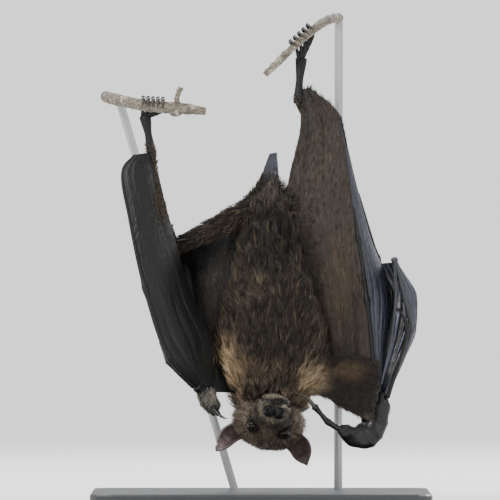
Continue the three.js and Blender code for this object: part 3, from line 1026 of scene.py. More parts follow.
@dataclass(frozen=True)
class BareSkinFinish:
    """Bare, creased skin: wings, ears, nose, feet and fingers.

    Args:
        name: the material's name.
        dark, light: its two colours.
        scale: how fine its creases are.
        crease: how deep they are, in metres.
        rough: the lowest and highest roughness.
        draw: how places are scaled, to draw its folds out along the bone.
        coat: a thin gloss over it.
        ridge: how much paler the ridges of its folds are, a painted highlight.
        shine: how strongly it reflects.
    """

    name: str
    dark: Point
    light: Point
    scale: float
    crease: float
    rough: tuple[float, float]
    draw: Point
    coat: float = 0.0
    ridge: float = 1.5
    shine: float = 0.5

    def build(self, shop: Workshop) -> Material:
        """Makes the material.

        Args:
            shop: the shared effects.

        Returns:
            The material.
        """
        material, bench, shader, place = new_material(self.name)
        drawn = bench.stretched(place, self.draw)
        creases = bench.group(
            shop.creases.tree, {"Place": drawn, "Scale": self.scale, "Grain": 0.45}
        )
        cloud = bench.noise(drawn, 55.0, 3.0)
        color = bench.mix(bench.rise(cloud, 0.34, 0.66), rgb(*self.dark), rgb(*self.light))
        # painted shade: the colour darkens along the crease lines, towards half the dark colour
        color = bench.mix(
            bench.rise(creases.outputs["Cells"], 0.0, 1.0, 0.45, 0.0),
            color,
            rgb(*(v * 0.5 for v in self.dark)),
        )
        # painted highlight: the ridges of the folds, read from the sheet's relief, are paler, as if
        # lit
        ridge_highlight = bench.rise(bench.attribute("ridge"), 0.1, 1.1, 0.0, 0.75)
        surface = {
            "Base Color": bench.mix(ridge_highlight, color, rgb(*(v * self.ridge for v in self.light))),
            "Roughness": bench.rise(cloud, 0.3, 0.7, *self.rough),
            "Normal": bench.bump(creases.outputs["Height"], 0.8, self.crease),
            "Specular IOR Level": self.shine,
            "Coat Weight": self.coat,
            "Coat Roughness": 0.3,
        }
        bench.plug(shader, surface)
        return material


@dataclass(frozen=True)
class EyeFinish:
    """A dark, wet eye with a brown iris round a wide pupil.

    Args:
        name: the material's name.
        middle, gaze: the eye's centre and where it looks.
    """

    name: str
    middle: tuple[float, float, float]
    gaze: tuple[float, float, float]

    def build(self, shop: Workshop) -> Material:
        """Makes the material.

        Args:
            shop: the shared effects.

        Returns:
            The material.
        """
        material, bench, shader, place = new_material(self.name)
        ray = bench.vector(
            "NORMALIZE", {0: bench.vector("SUBTRACT", {0: place, 1: metres(self.middle)})}
        )
        aim = bench.vector("DOT_PRODUCT", {0: ray, 1: self.gaze})
        iris = bench.mix(bench.noise(ray, 14.0, 4.0), rgb(17, 11, 8), rgb(38, 24, 15))
        color = bench.mix(bench.rise(aim, 0.86, 0.91), iris, rgb(5, 4, 4))
        color = bench.mix(bench.rise(aim, 0.62, 0.5), color, rgb(14, 10, 9))
        wet = bench.group(shop.wear.tree, {"Place": place, "Scale": 2.0})
        surface = {
            "Base Color": color,
            "Roughness": bench.rise(wet.outputs["Marks"], 0.0, 1.0, 0.16, 0.24),
            "Specular IOR Level": 0.22,
            "Coat Weight": 0.1,
            "Coat Roughness": 0.12,
        }
        bench.plug(shader, surface)
        return material


@dataclass(frozen=True)
class ClawFinish:
    """Horn: dark and glossy with fine lengthwise grain.

    Args:
        name: the material's name.
    """

    name: str = "claw_horn"

    def build(self, shop: Workshop) -> Material:
        """Makes the material.

        Args:
            shop: the shared effects.

        Returns:
            The material.
        """
        material, bench, shader, place = new_material(self.name)
        grain = bench.group(
            shop.wear.tree, {"Place": bench.stretched(place, (1, 1, 0.3)), "Scale": 1.5}
        )
        grain = grain.outputs["Grain"]
        surface = {
            "Base Color": bench.mix(grain, rgb(20, 16, 14), rgb(62, 52, 44)),
            "Roughness": bench.rise(grain, 0.2, 0.8, 0.2, 0.42),
            "Normal": bench.bump(grain, 0.3, 0.0001),
        }
        bench.plug(shader, surface)
        return material


@dataclass(frozen=True)
class BarkFinish:
    """Grey bark with lichen, and pale wood where `cut` is 1.

    Args:
        name: the material's name.
    """

    name: str = "twig_bark"

    def build(self, shop: Workshop) -> Material:
        """Makes the material.

        Args:
            shop: the shared effects.

        Returns:
            The material.
        """
        material, bench, shader, place = new_material(self.name)
        furrow = bench.noise(bench.stretched(place, (0.3, 1, 1)), 650.0, 5.0, 0.65)
        patch = bench.noise(place, 130.0, 4.0, 0.6)
        color = bench.mix(bench.rise(furrow, 0.35, 0.7), rgb(74, 66, 58), rgb(132, 124, 112))
        color = bench.mix(bench.rise(patch, 0.52, 0.64), color, rgb(158, 156, 142))
        wear = bench.group(shop.wear.tree, {"Place": place, "Scale": 3.0})
        color = bench.mix(
            bench.math("MULTIPLY", wear.outputs["Marks"], 0.5), color, rgb(96, 104, 78)
        )
        wood = bench.mix(furrow, rgb(150, 122, 88), rgb(196, 170, 132))
        surface = {
            "Base Color": bench.mix(bench.attribute("cut"), color, wood),
            "Roughness": bench.rise(furrow, 0.2, 0.8, 0.95, 0.75),
            "Normal": bench.bump(furrow, 0.9, 0.0007),
        }
        bench.plug(shader, surface)
        return material


@dataclass(frozen=True)
class StandFinish:
    """Painted or metal parts of the stand.

    Args:
        name: the material's name.
        dark, light: its two colours.
        metal: how metallic it is.
        rough: the lowest and highest roughness.
        grain: how places are scaled, to draw the brush marks out.
    """

    name: str
    dark: Point
    light: Point
    metal: float
    rough: tuple[float, float]
    grain: Point = (1, 1, 1)

    def build(self, shop: Workshop) -> Material:
        """Makes the material.

        Args:
            shop: the shared effects.

        Returns:
            The material.
        """
        material, bench, shader, place = new_material(self.name)
        wear = bench.group(
            shop.wear.tree, {"Place": bench.stretched(place, self.grain), "Scale": 0.8}
        )
        surface = {
            "Base Color": bench.mix(wear.outputs["Grain"], rgb(*self.dark), rgb(*self.light)),
            "Roughness": bench.rise(wear.outputs["Marks"], 0.0, 1.0, *self.rough),
            "Normal": bench.bump(wear.outputs["Grain"], 0.25, 0.0001),
            "Metallic": self.metal,
        }
        bench.plug(shader, surface)
        return material


# ------------------------------------------------------------------ the furred body
@dataclass(frozen=True)
class Limb:
    """A furred part with an axis.

    Args:
        name: its name.
        points: its axis, from its near end to its far end.
        wide, front: half sizes out to the tips of the fur.
        depth: how deep the coat is along it.
        round: how far its ends are drawn out, in radii.
    """

    name: str
    points: tuple[Point, ...]
    wide: tuple[float, ...]
    front: tuple[float, ...]
    depth: tuple[float, ...]
    round: float = 0.6

    def flesh(self) -> Shape:
        """Builds the part without its coat.

        Returns:
            The solid.
        """
        t = np.linspace(0, 1, len(self.wide))
        depth = spread(self.depth, t)
        wide = np.maximum(np.array(self.wide) - depth, 1.4)
        front = np.maximum(np.array(self.front) - depth, 1.4)
        line = Route(self.points).at(np.linspace(0, 1, 30))
        steps = max(int(np.linalg.norm(np.diff(line, axis=0), axis=1).sum() / 2.2), 8)
        return loft(
            self.points, wide, front, sides=40, steps=steps, away=self.away(), tip=self.round
        )

    def away(self) -> Array:
        """The direction of the part's back."""
        return np.array(HEAD_AXES[2] if self.name == "head" else REARWARD)

    def nearest(self, p: Array) -> tuple[Array, Array, Array, Array]:
        """Measures points against the axis.

        Args:
            p: points.

        Returns:
            How far outside the part, how far along it, the axis direction and the nearest point.
        """
        route = Route(self.points)
        t = np.linspace(0, 1, 60)
        line, ahead = route.at(t), route.ahead(t)
        wide, front = spread(self.wide, t), spread(self.front, t)
        side = unit(np.cross(ahead, self.away()))
        rear = np.cross(side, ahead)
        best = np.full(len(p), 1e9)
        index = np.zeros(len(p), int)
        for k in range(len(t)):
            out = p - line[k]
            ring = np.sqrt((out @ side[k] / wide[k]) ** 2 + (out @ rear[k] / front[k]) ** 2)
            away = (ring - 1) * math.sqrt(wide[k] * front[k]) + 0.8 * np.abs(out @ ahead[k])
            closer = away < best
            best[closer] = away[closer]
            index[closer] = k
        return best, t[index], ahead[index], line[index]


HEAD = Limb(
    "head",
    tuple(tuple(on_head(0, row[0], row[1])) for row in SKULL),
    tuple(row[2] for row in SKULL),
    tuple(row[3] for row in SKULL),
    (3.4, 3.4, 3.0, 2.6, 2.0, 1.4, 1.0, 0.8, 0.7),
    0.35,
)
TORSO = Limb(
    "trunk",
    tuple((row[0], row[1], row[2]) for row in reversed(TRUNK)),
    tuple(row[3] for row in reversed(TRUNK)),
    tuple(row[4] for row in reversed(TRUNK)),
    (4.0, 5.5, 6.2, 6.4, 6.2, 5.6, 5.0, 4.4, 3.8, 2.8),
    0.4,
)


def limbs_of(side: str, j: Joints) -> tuple[Limb, ...]:
    """The furred limbs of one side.

    Args:
        side: left or right.
        j: where they bend.

    Returns:
        Upper arm, thigh and shin.
    """
    return (
        Limb(f"upper_arm_{side}", (j.shoulder, j.elbow), (9, 5.5), (9, 5.5), (2.4, 1.6)),
        Limb(f"thigh_{side}", (j.hip, j.knee), (11, 6.5), (11, 6.5), (3.0, 1.8)),
        Limb(
            f"shin_{side}", (j.knee, j.shin, j.ankle), (6, 4.6, 3.4), (6, 4.6, 3.4), (1.8, 1.3, 0.8)
        ),
    )


LIMBS = (HEAD, TORSO, *limbs_of("left", LEFT), *limbs_of("right", RIGHT))


@dataclass
class Body:
    """The seamless skin of head, trunk and limbs.

    Args:
        voxel: the grid that the solids are fused on.
        lid: how thick the lids are.
        skin: the finished surface, once it is built.
    """

    voxel: float = 0.9
    lid: float = 0.5
    skin: Shape | None = None

    def sculpt_face(self, p: Array, normal: Array) -> Array:
        """Works the forms of the face into the skin.

        Args:
            p: the skin's corners.
            normal: its directions outward.

        Returns:
            The moved corners.
        """
        h = head_places(p)
        s, n, c = np.abs(h[:, 0]), h[:, 1], h[:, 2]
        near = smooth_step(-14, -4, n) * (np.linalg.norm(h * (1, 0.6, 1), axis=1) < 60)

        def bump(at: Point, reach: Point) -> Array:
            """A soft mound on both sides of the face."""
            shares = [(v - a) / r for v, a, r in zip((s, n, c), at, reach)]
            return np.exp(-(shares[0] ** 2 + shares[1] ** 2 + shares[2] ** 2)) * near

        push = 1.1 * bump((10.5, 13, 10.6), (6, 4, 2.6))  # brow
        push += 1.2 * bump((14, 6, -9), (6, 7, 6))  # cheek
        push += 0.7 * bump((6.5, 31, -13.2), (3.4, 5, 2.6))  # whisker pad
        push += 0.5 * bump((0, 27, -2), (2.4, 8, 3))  # bridge
        push -= 0.9 * bump((7, 22, -1.5), (3, 4.5, 3.5))  # hollow before the eye
        push -= 0.6 * bump((0, 14, 10), (3, 6, 4))  # groove between the brows
        line = -15.2 + 0.010 * (s**2) + 0.30 * np.maximum(24 - n, 0) ** 1.05 * 0.6
        over = c - line
        push -= 1.2 * bell(over, 0, 0.75) * smooth_step(9, 17, n) * near  # mouth
        push += 0.5 * bell(over, 1.5, 1.0) * smooth_step(14, 22, n) * near  # upper lip
        push += 0.4 * bell(over, -1.6, 1.1) * smooth_step(14, 22, n) * near  # lower lip
        return p + normal * push[:, None]

    def open_eyes(self, p: Array) -> Array:
        """Shapes the sockets and the lids round both eyes.

        Args:
            p: the skin's corners.

        Returns:
            The moved corners.
        """
        for side, middle in EYES.items():
            out = p - middle
            far = np.linalg.norm(out, axis=1)
            ray = unit(out)
            gaze, up, across = eye_axes(side)
            front = ray @ gaze
            spread_up = np.degrees(np.arctan2(ray @ up, np.maximum(front, 1e-3)))
            spread_out = np.degrees(np.arctan2(ray @ across, np.maximum(front, 1e-3)))
            shape = np.sqrt((spread_up / LID_UP) ** 2 + (spread_out / LID_OUT) ** 2)
            shape[front < 0.05] = 9
            close = (far < EYE_RADIUS * 2.4) & (shape < 1.6)
            inside = shape < 1
            rim = EYE_RADIUS + self.lid * (1 - 0.5 * smooth_step(1.0, 1.5, shape))
            target = np.where(inside, EYE_RADIUS * 0.8, rim)
            share = np.where(inside, 1.0, 1 - smooth_step(1.12, 1.6, shape))
            moved = far + (target - far) * share
            p = np.where(close[:, None], middle + ray * moved[:, None], p)
        return p

    def build(self, finish: Material) -> None:
        """Makes the skin.

        Args:
            finish: its material.
        """
        skin = fused(joined(part.flesh() for part in LIMBS), self.voxel).smoothed(7, 0.5)
        face = head_places(skin.corners)
        fine = (face[:, 1] > 4) & (np.abs(face[:, 0]) < 26) & (face[:, 2] > -26) & (face[:, 2] < 22)
        skin = refined(skin, fine).smoothed(2, 0.4)
        self.skin = Shape(
            self.open_eyes(self.sculpt_face(skin.corners, skin.normals())), skin.faces
        )
        replaced = ["head", "neck", "chest", "abdomen"]
        replaced += [
            f"{part}_{side}" for part in ("upper_arm", "thigh", "shin") for _, side in SIDES
        ]
        add_piece("bat_skin", self.skin, finish, replaced)


# ------------------------------------------------------------------ the coat
COAT_SEED, PIECE_SEED, DOWN_SEED, WRIST_SEED = 71, 100, 300, 390
TUFTS_IN_LOCK = 16  # on average
LOCK_REACH = 3.5  # how far from its leader a tuft still leans with it
ROOT_DEPTH = 0.25  # how deep a tuft starts in the skin
CHART_PATCH = 0.0014  # half of each tuft's place on the OFBake map
# A tuft is a three-sided prism with a point. For each of its seven corners: how far along the
# strand it is, and its place on the tuft's patch.
TUFT_STRAND = (0, 0, 0, 0.5, 0.5, 0.5, 1)
TUFT_PATCH = ((-1, -1), (1, -1), (0, -1), (-1, 0.2), (1, 0.2), (0, 0.2), (0, 1))
TUFT_FACES = ((0, 1, 4, 3), (1, 2, 5, 4), (2, 0, 3, 5), (3, 4, 6, -1), (4, 5, 6, -1), (5, 3, 6, -1))


@dataclass
class Roots:
    """Where tufts grow.

    Args:
        place, normal, lie: root, direction outward and lie of the hair for each tuft.
        length, width, rise: each tuft's size, and how far its tip stands off.
        chart: its place on the unwrapped skin, from 0 to 1 each way.
    """

    place: Array
    normal: Array
    lie: Array
    length: Array
    width: Array
    rise: Array
    chart: Array

    def picked(self, keep: Array) -> "Roots":
        """Keeps the chosen tufts."""
        return Roots(*(values[keep] for values in vars(self).values()))


def scattered(
    shape: Shape, count: int, weight: Array, rng: np.random.Generator, chart: Array | None = None
) -> tuple[Array, Array, Array | None]:
    """Spreads points over a surface.

    Args:
        shape: the surface.
        count: how many.
        weight: how densely, for each triangle.
        rng: the source of chance.
        chart: the place of each corner on the unwrapped surface.

    Returns:
        Points, normals and chart places.
    """
    tri = shape.triangles()
    p, normal = shape.corners, shape.normals()
    first = p[tri[:, 0]]
    area = np.linalg.norm(np.cross(p[tri[:, 1]] - first, p[tri[:, 2]] - first), axis=1) / 2
    share = np.cumsum(area * weight)
    pick = np.searchsorted(share, (np.arange(count) + rng.random(count)) / count * share[-1])
    pick = np.minimum(pick, len(tri) - 1)
    a, b = rng.random((2, count))
    flip = a + b > 1
    a, b = np.where(flip, 1 - a, a), np.where(flip, 1 - b, b)
    w = np.stack([1 - a - b, a, b], axis=1)[..., None]
    places = None if chart is None else (chart[tri[pick]] * w).sum(1)
    return (p[tri[pick]] * w).sum(1), unit((normal[tri[pick]] * w).sum(1)), places


def tufted(
    roots: Roots, rng: np.random.Generator, clump: float, wave: float
) -> tuple[Shape, dict[str, Array], Array]:
    """Builds tapered tufts that bend over, lie along the body and lean together in locks.

    Args:
        roots: where they grow.
        rng: the source of chance.
        clump: how strongly the tufts of a lock lean together, from 0 to 1.
        wave: how far they stray, as a share of their length.

    Returns:
        The shape, values for each corner and the chart place of each corner.
    """
    count = len(roots.place)
    leaders = rng.choice(count, max(count // TUFTS_IN_LOCK, 1), replace=False)
    tree = kdtree.KDTree(len(leaders))
    for k, leader in enumerate(leaders):
        tree.insert(Vector(roots.place[leader]), k)
    tree.balance()
    own = np.array([tree.find(Vector(q))[1] for q in roots.place])
    chosen = leaders[own]
    drift = rng.normal(size=(len(leaders), 3)) * wave
    length = roots.length * rng.uniform(0.72, 1.25, len(leaders))[own]
    rise = np.minimum(roots.rise * rng.uniform(0.65, 1.3, len(leaders))[own], length * 0.7)
    lock = 0.8 * rng.random(count) + 0.2 * rng.random(len(leaders))[own]
    first = np.arcsin(np.clip(rise * 1.4 / length, 0.05, 0.95))[:, None]
    last = np.arcsin(np.clip(rise * 0.6 / length, 0.0, 0.9))[:, None]
    lie = roots.lie + drift[own]
    lie = unit(lie - roots.normal * (lie * roots.normal).sum(1, keepdims=True))
    half = length[:, None] / 2
    base = roots.place - roots.normal * ROOT_DEPTH
    stray = np.cross(roots.normal, lie) * rng.normal(size=(count, 1)) * wave
    middle = base + half * (unit(lie + stray * 0.5) * np.cos(first) + roots.normal * np.sin(first))
    tip = middle + half * (unit(lie + stray * 1.6) * np.cos(last) + roots.normal * np.sin(last))
    apart = np.linalg.norm(roots.place - roots.place[chosen], axis=1)
    pull = clump * rng.uniform(0.5, 1.0, (count, 1)) * bell(apart, 0, LOCK_REACH)[:, None]
    tip = tip + (tip[chosen] - tip) * pull
    middle = middle + (middle[chosen] - middle) * pull * 0.45
    wide = roots.width * (1 + 0.5 * smooth_step(0.76, 0.9, lock))
    side = unit(np.cross(tip - base, roots.normal + 1e-3))
    up = unit(np.cross(side, tip - base))
    rows = [
        centre + (side * math.cos(angle) + up * math.sin(angle)) * (wide * size / 2)[:, None]
        for centre, size in ((base, 1.0), (middle, 0.8))
        for angle in np.radians((90, 210, 330))
    ]
    rows.append(tip)
    corners = np.stack(rows, axis=1).reshape(-1, 3)
    start = (np.arange(count) * len(rows))[:, None]
    faces = np.array(TUFT_FACES)[None]
    faces = np.where(faces >= 0, faces + start[:, None], -1).reshape(-1, 4)
    values = {"strand": np.tile(TUFT_STRAND, count), "chance": np.repeat(lock, len(rows))}
    offset = np.array(TUFT_PATCH) * CHART_PATCH
    chart = np.clip(
        roots.chart[:, None] * (1 - 4 * CHART_PATCH) + 2 * CHART_PATCH + offset, 0, 1
    ).reshape(-1, 2)
    return Shape(corners, faces), values, chart


def add_coat(
    name: str, roots: Roots, finish: Material, seed: int, clump: float, wave: float
) -> None:
    """Adds one piece of the coat with its OFBake map.

    Args:
        name: the piece's name.
        roots: where its tufts grow.
        finish: its material.
        seed: which pattern of chance.
        clump: how strongly tufts lean together.
        wave: how far they stray.
    """
    shape, values, chart = tufted(roots, np.random.default_rng(seed), clump, wave)
    piece = add_piece(name, shape, finish, values=values)
    mesh = piece.data
    loops = np.empty(len(mesh.loops), np.int32)
    mesh.loops.foreach_get("vertex_index", loops)
    mesh.uv_layers.new(name="OFBake").data.foreach_set(
        "uv", chart[loops].astype(np.float32).ravel()
    )


@dataclass
class Coat:
    """The fur on the skin, in pieces.

    Args:
        body: the skin it grows on.
        total: tufts on the whole skin.
        most: tufts in one piece.
    """

    body: Body
    total: int = 112000
    most: int = 22000

    def fields(self, p: Array) -> tuple[Array, Array, Array, Array]:
        """Finds each place's part and the lie of its hair.

        Args:
            p: points.

        Returns:
            The part's number, the lie, the coat depth and the chart place.
        """
        part = np.zeros(len(p), int)
        best = np.full(len(p), 1e9)
        lie = np.zeros_like(p)
        total = np.zeros((len(p), 1))
        depth = np.zeros((len(p), 1))
        chart = np.zeros((len(p), 2))
        nose = on_head(0, 42, -11)
        for k, limb in enumerate(LIMBS):
            away, t, ahead, line = limb.nearest(p)
            coat = spread(limb.depth, t)
            away = away + coat
            weight = 1 / (0.5 + np.maximum(away, 0.0) ** 3)[:, None]
            flow = unit(p - nose) if limb.name == "head" else ahead
            lie += flow * weight
            depth += coat[:, None] * weight
            total += weight
            closer = away < best
            best[closer] = away[closer]
            part[closer] = k
            out = p - line
            side = unit(np.cross(ahead, REARWARD))
            rear = np.cross(side, ahead)
            turn = np.arctan2((out * rear).sum(1), (out * side).sum(1)) / (2 * math.pi) + 0.5
            chart[closer] = np.stack([turn, t], axis=1)[closer]
        return part, unit(lie / total), (depth / total)[:, 0], chart

    def bare(self, p: Array) -> Array:
        """Finds the places without hair: lids, nose and lips.

        Args:
            p: points.

        Returns:
            True where nothing grows.
        """
        none = np.zeros(len(p), bool)
        for side, middle in EYES.items():
            out = p - middle
            close = np.linalg.norm(out, axis=1) < EYE_RADIUS + 2.2
            none |= close & (unit(out) @ GAZE[side] > 0.2)
        h = head_places(p)
        none |= (h[:, 1] > 36) & (np.abs(h[:, 0]) < 7.2) & (h[:, 2] > -12.8)
        none |= (h[:, 1] > 27) & (np.abs(h[:, 2] + 15.75 - 0.02 * h[:, 0] ** 2) < 1.0)
        return none

    def build(self, finish: Material) -> None:
        """Grows the coat.

        Args:
            finish: its material.
        """
        rng = np.random.default_rng(COAT_SEED)
        skin = self.body.skin
        centre = skin.corners[skin.triangles()].mean(1)
        weight = 1.0 + 2.4 * smooth_step(2, 14, head_places(centre)[:, 1])
        place, normal, _ = scattered(skin, self.total, weight, rng)
        part, lie, depth, chart = self.fields(place)
        taken = self.bare(place)
        h = head_places(place)
        face = smooth_step(-4, 16, h[:, 1]) * (part == 0)
        muzzle = smooth_step(18, 30, h[:, 1]) * (part == 0)
        mantle = bell(place[:, 2], 96, 22) * (part == 1)
        cheek = smooth_step(10, 21, np.abs(h[:, 0])) * smooth_step(30, 20, h[:, 1]) * (part == 0)
        neck = bell(place[:, 2], 84, 9) * (part == 1)
        random = rng.random((3, len(place)))
        length = 15.0 + 3.0 * mantle
        length = np.where(part == 0, 10.0 - 3.6 * face - 2.6 * muzzle, length)
        length = (np.where(part > 1, 7.5, length) + 2.0 * cheek) * (0.6 + 0.55 * random[0])
        width = (0.4 - 0.14 * face - 0.04 * muzzle + 0.04 * mantle) * (0.7 + 0.6 * random[1])
        rise = depth * 1.12 + 0.8 * face + 0.9 * muzzle + 2.0 * cheek + 2.4 * neck
        rise = rise * (0.5 + 0.65 * random[2])
        ruff = bell(h[:, 1], 29, 8) * (part == 0)
        length = length + 2.2 * ruff
        rise = rise + 1.1 * ruff
        fan = np.stack([place[:, 0] - 6.5, place[:, 1] * 0.6, np.zeros(len(place))], axis=1)
        swirl = np.stack([soft_noise(place, 24, seed) for seed in (5, 6, 7)], axis=1)
        swirl = swirl * np.where(part == 0, 0.15, 0.4)[:, None]
        lie = unit(lie + unit(fan + 1e-6) * (0.35 * mantle)[:, None] + swirl)
        for middle in EYES.values():
            out = place - middle
            near = 1 - smooth_step(1.2, 7.5, np.linalg.norm(out, axis=1) - EYE_RADIUS)
            lie = unit(lie + unit(out) * (2.4 * near)[:, None])
            length = length * (1 - 0.7 * near)
            rise = rise * (1 - 0.6 * near)
        roots = Roots(place, normal, lie, length, width, rise, chart)
        front = place[:, 1] < np.where(part == 1, 1.0, 0.0)
        low = place[:, 2] < 122
        groups = {
            "coat_face": (part == 0) & (h[:, 1] > 3),
            "coat_crown": (part == 0) & (h[:, 1] <= 3),
            "coat_mantle_front": (part == 1) & low & front,
            "coat_mantle_back": (part == 1) & low & ~front,
            "coat_belly": (part == 1) & ~low & front,
            "coat_rump": (part == 1) & ~low & ~front,
            "coat_arms": np.isin(part, (2, 5)),
            "coat_legs": part > 1,
        }
        for seed, (name, chosen) in enumerate(groups.items()):
            index = np.flatnonzero(chosen & ~taken)
            taken[index] = True
            if len(index) > self.most:
                index = np.sort(rng.choice(index, self.most, replace=False))
            clump, wave = (0.45, 0.13) if name == "coat_face" else (0.75, 0.19)
            add_coat(name, roots.picked(index), finish, PIECE_SEED + seed, clump, wave)


@dataclass(frozen=True)
class WingFur:
    """Short fur on a wing skin or a hand, thickest at one place.

    Args:
        node: the solid whose skin it grows on.
        name: the piece's name.
        middle, reach: where it grows.
        lie: the way it points.
        count: how many tufts it has.
        length, width, rise: their size, and how far they stand off.
    """

    node: str
    name: str
    middle: Point
    reach: Point
    lie: Point
    count: int
    length: float
    width: float
    rise: float

    def build(self, shape: Shape, chart: Array, finish: Material, seed: int) -> None:
        """Grows the fur.

        Args:
            shape: what it grows on.
            chart: the place of each corner on the unwrapped surface.
            finish: its material.
            seed: which pattern of chance.
        """

        def away(p: Array) -> Array:
            """How far points are from the middle, as a share of the reach."""
            return np.linalg.norm((p - np.array(self.middle)) / np.array(self.reach), axis=1)

        rng = np.random.default_rng(seed)
        centre = shape.corners[shape.triangles()].mean(1)
        ragged = away(centre) + 0.16 * soft_noise(centre, 9, seed)
        place, normal, places = scattered(
            shape, self.count, 1 - smooth_step(0.55, 1.05, ragged) + 1e-6, rng, chart
        )
        fade = 1 - 0.5 * smooth_step(0.4, 1.0, away(place))
        random = rng.random((3, self.count))
        lie = np.tile(unit(np.array(self.lie, float)), (self.count, 1))
        lie = lie + 0.12 * rng.normal(size=place.shape)
        length = self.length * fade * (0.6 + 0.7 * random[0])
        width = self.width * (0.7 + 0.6 * random[1])
        rise = self.rise * fade * (0.3 + 0.9 * random[2])
        roots = Roots(place, normal, lie, length, width, rise, places)
        add_coat(self.name, roots, finish, seed, 0.35, 0.1)


# ------------------------------------------------------------------ eyes, nose and ears
@dataclass
class Eyes:
    """Both eyes, each with a slightly domed cornea."""

    def build(self, shop: Workshop, lid: Material) -> None:
        """Makes both eyes and their lids.

        Args:
            shop: the shared effects.
            lid: the lids' finish.
        """
        for side, name in SIDES:
            middle, gaze = EYES[side], GAZE[side]
            eye = ball(middle, (EYE_RADIUS,) * 3, 48)
            ray = unit(eye.corners - middle)
            dome = smooth_step(0.72, 1.0, ray @ gaze) * 0.45
            eye = Shape(eye.corners + ray * dome[:, None], eye.faces)
            finish = EyeFinish(f"eye_{name}_wet", tuple(middle), tuple(gaze)).build(shop)
            add_piece(f"eyeball_{name}", eye, finish, [f"eye_{name}"])
            add_piece(f"eyelids_{name}", self.lids(side), lid)

    def lids(self, side: int) -> Shape:
        """Builds the two lids round one eye as a soft closed ring.

        Args:
            side: -1 for left and 1 for right.

        Returns:
            The ring.
        """
        rings, sides = 72, 12
        gaze, up, across = eye_axes(side)
        turn = np.linspace(0, 2 * math.pi, rings, endpoint=False)
        pinch = 1 - 0.10 * np.abs(np.cos(turn)) ** 6
        tilt_up = np.radians(LID_UP) * np.sin(turn) * pinch
        tilt_out = np.radians(LID_OUT) * np.cos(turn)
        ray = unit(gaze + np.outer(np.tan(tilt_up), up) + np.outer(np.tan(tilt_out), across))
        middle = EYES[side] + ray * (EYE_RADIUS + 0.15)
        ahead = unit(np.roll(middle, -1, 0) - np.roll(middle, 1, 0))
        beside = np.cross(ray, ahead)
        corners = [
            middle + ray * (0.5 * math.cos(angle)) + beside * (0.75 * math.sin(angle))
            for angle in np.linspace(0, 2 * math.pi, sides, endpoint=False)
        ]
        faces = tube_faces(rings, sides, closed=True)[:, (0, 3, 2, 1)]
        return Shape(np.stack(corners, axis=1).reshape(-1, 3), faces)


@dataclass
class Nose:
    """The bare nose with two short, open nostrils and a groove between them.

    Args:
        spacing: from the middle of one side lobe to the middle of the other.
    """

    spacing: float = 7.3

    def build(self, finish: Material) -> None:
        """Makes the nose.

        Args:
            finish: its material.
        """
        lobes = []
        for side, _ in SIDES:
            lobes.append(((side * self.spacing / 2, 37.7, -8.4), (4.7, 3.7, 4.5)))
            lobes.append(((side * self.spacing / 2 * 1.2, 39.5, -8.6), (3.0, 2.7, 3.0)))
        lobes.append(((0, 37.6, -10.6), (4.0, 3.0, 3.6)))
        nose = fused(
            joined(ball(on_head(*at), radii, 24, HEAD_AXES) for at, radii in lobes), 0.32
        ).smoothed(4, 0.5)
        normal = nose.normals()
        h = head_places(nose.corners)
        push = -0.9 * bell(h[:, 0], 0, 0.7) * smooth_step(35, 38, h[:, 1])
        for side, _ in SIDES:
            hole = on_head(side * 5.2, 42.0, -8.9)
            far = np.linalg.norm((nose.corners - hole) @ HEAD_AXES.T / (1.25, 1.6, 1.5), axis=1)
            push -= 2.3 * (1 - smooth_step(0.35, 1.1, far))
            push += 0.18 * bell(far, 1.45, 0.5)
        nose = Shape(nose.corners + normal * push[:, None], nose.faces).smoothed(1, 0.3)
        add_piece("nose_pad", nose, finish)
        half = [(9.5, 20), (9.4, 26), (8.7, 31.5), (6.9, 36), (3.8, 38.4), (0, 39.0)]
        line = [(-s, n) for s, n in half] + half[-2::-1]
        for name, c, radius, droop in (("upper", -15.0, 0.7, 1), ("lower", -16.5, 0.8, 0.6)):
            way = [on_head(s, n, c + 0.02 * s * s * droop) for s, n in line]
            lip = loft(
                way, (radius * 0.5, radius, radius, radius, radius * 0.5), sides=12, steps=80
            )
            add_piece(f"lip_{name}", lip, finish)


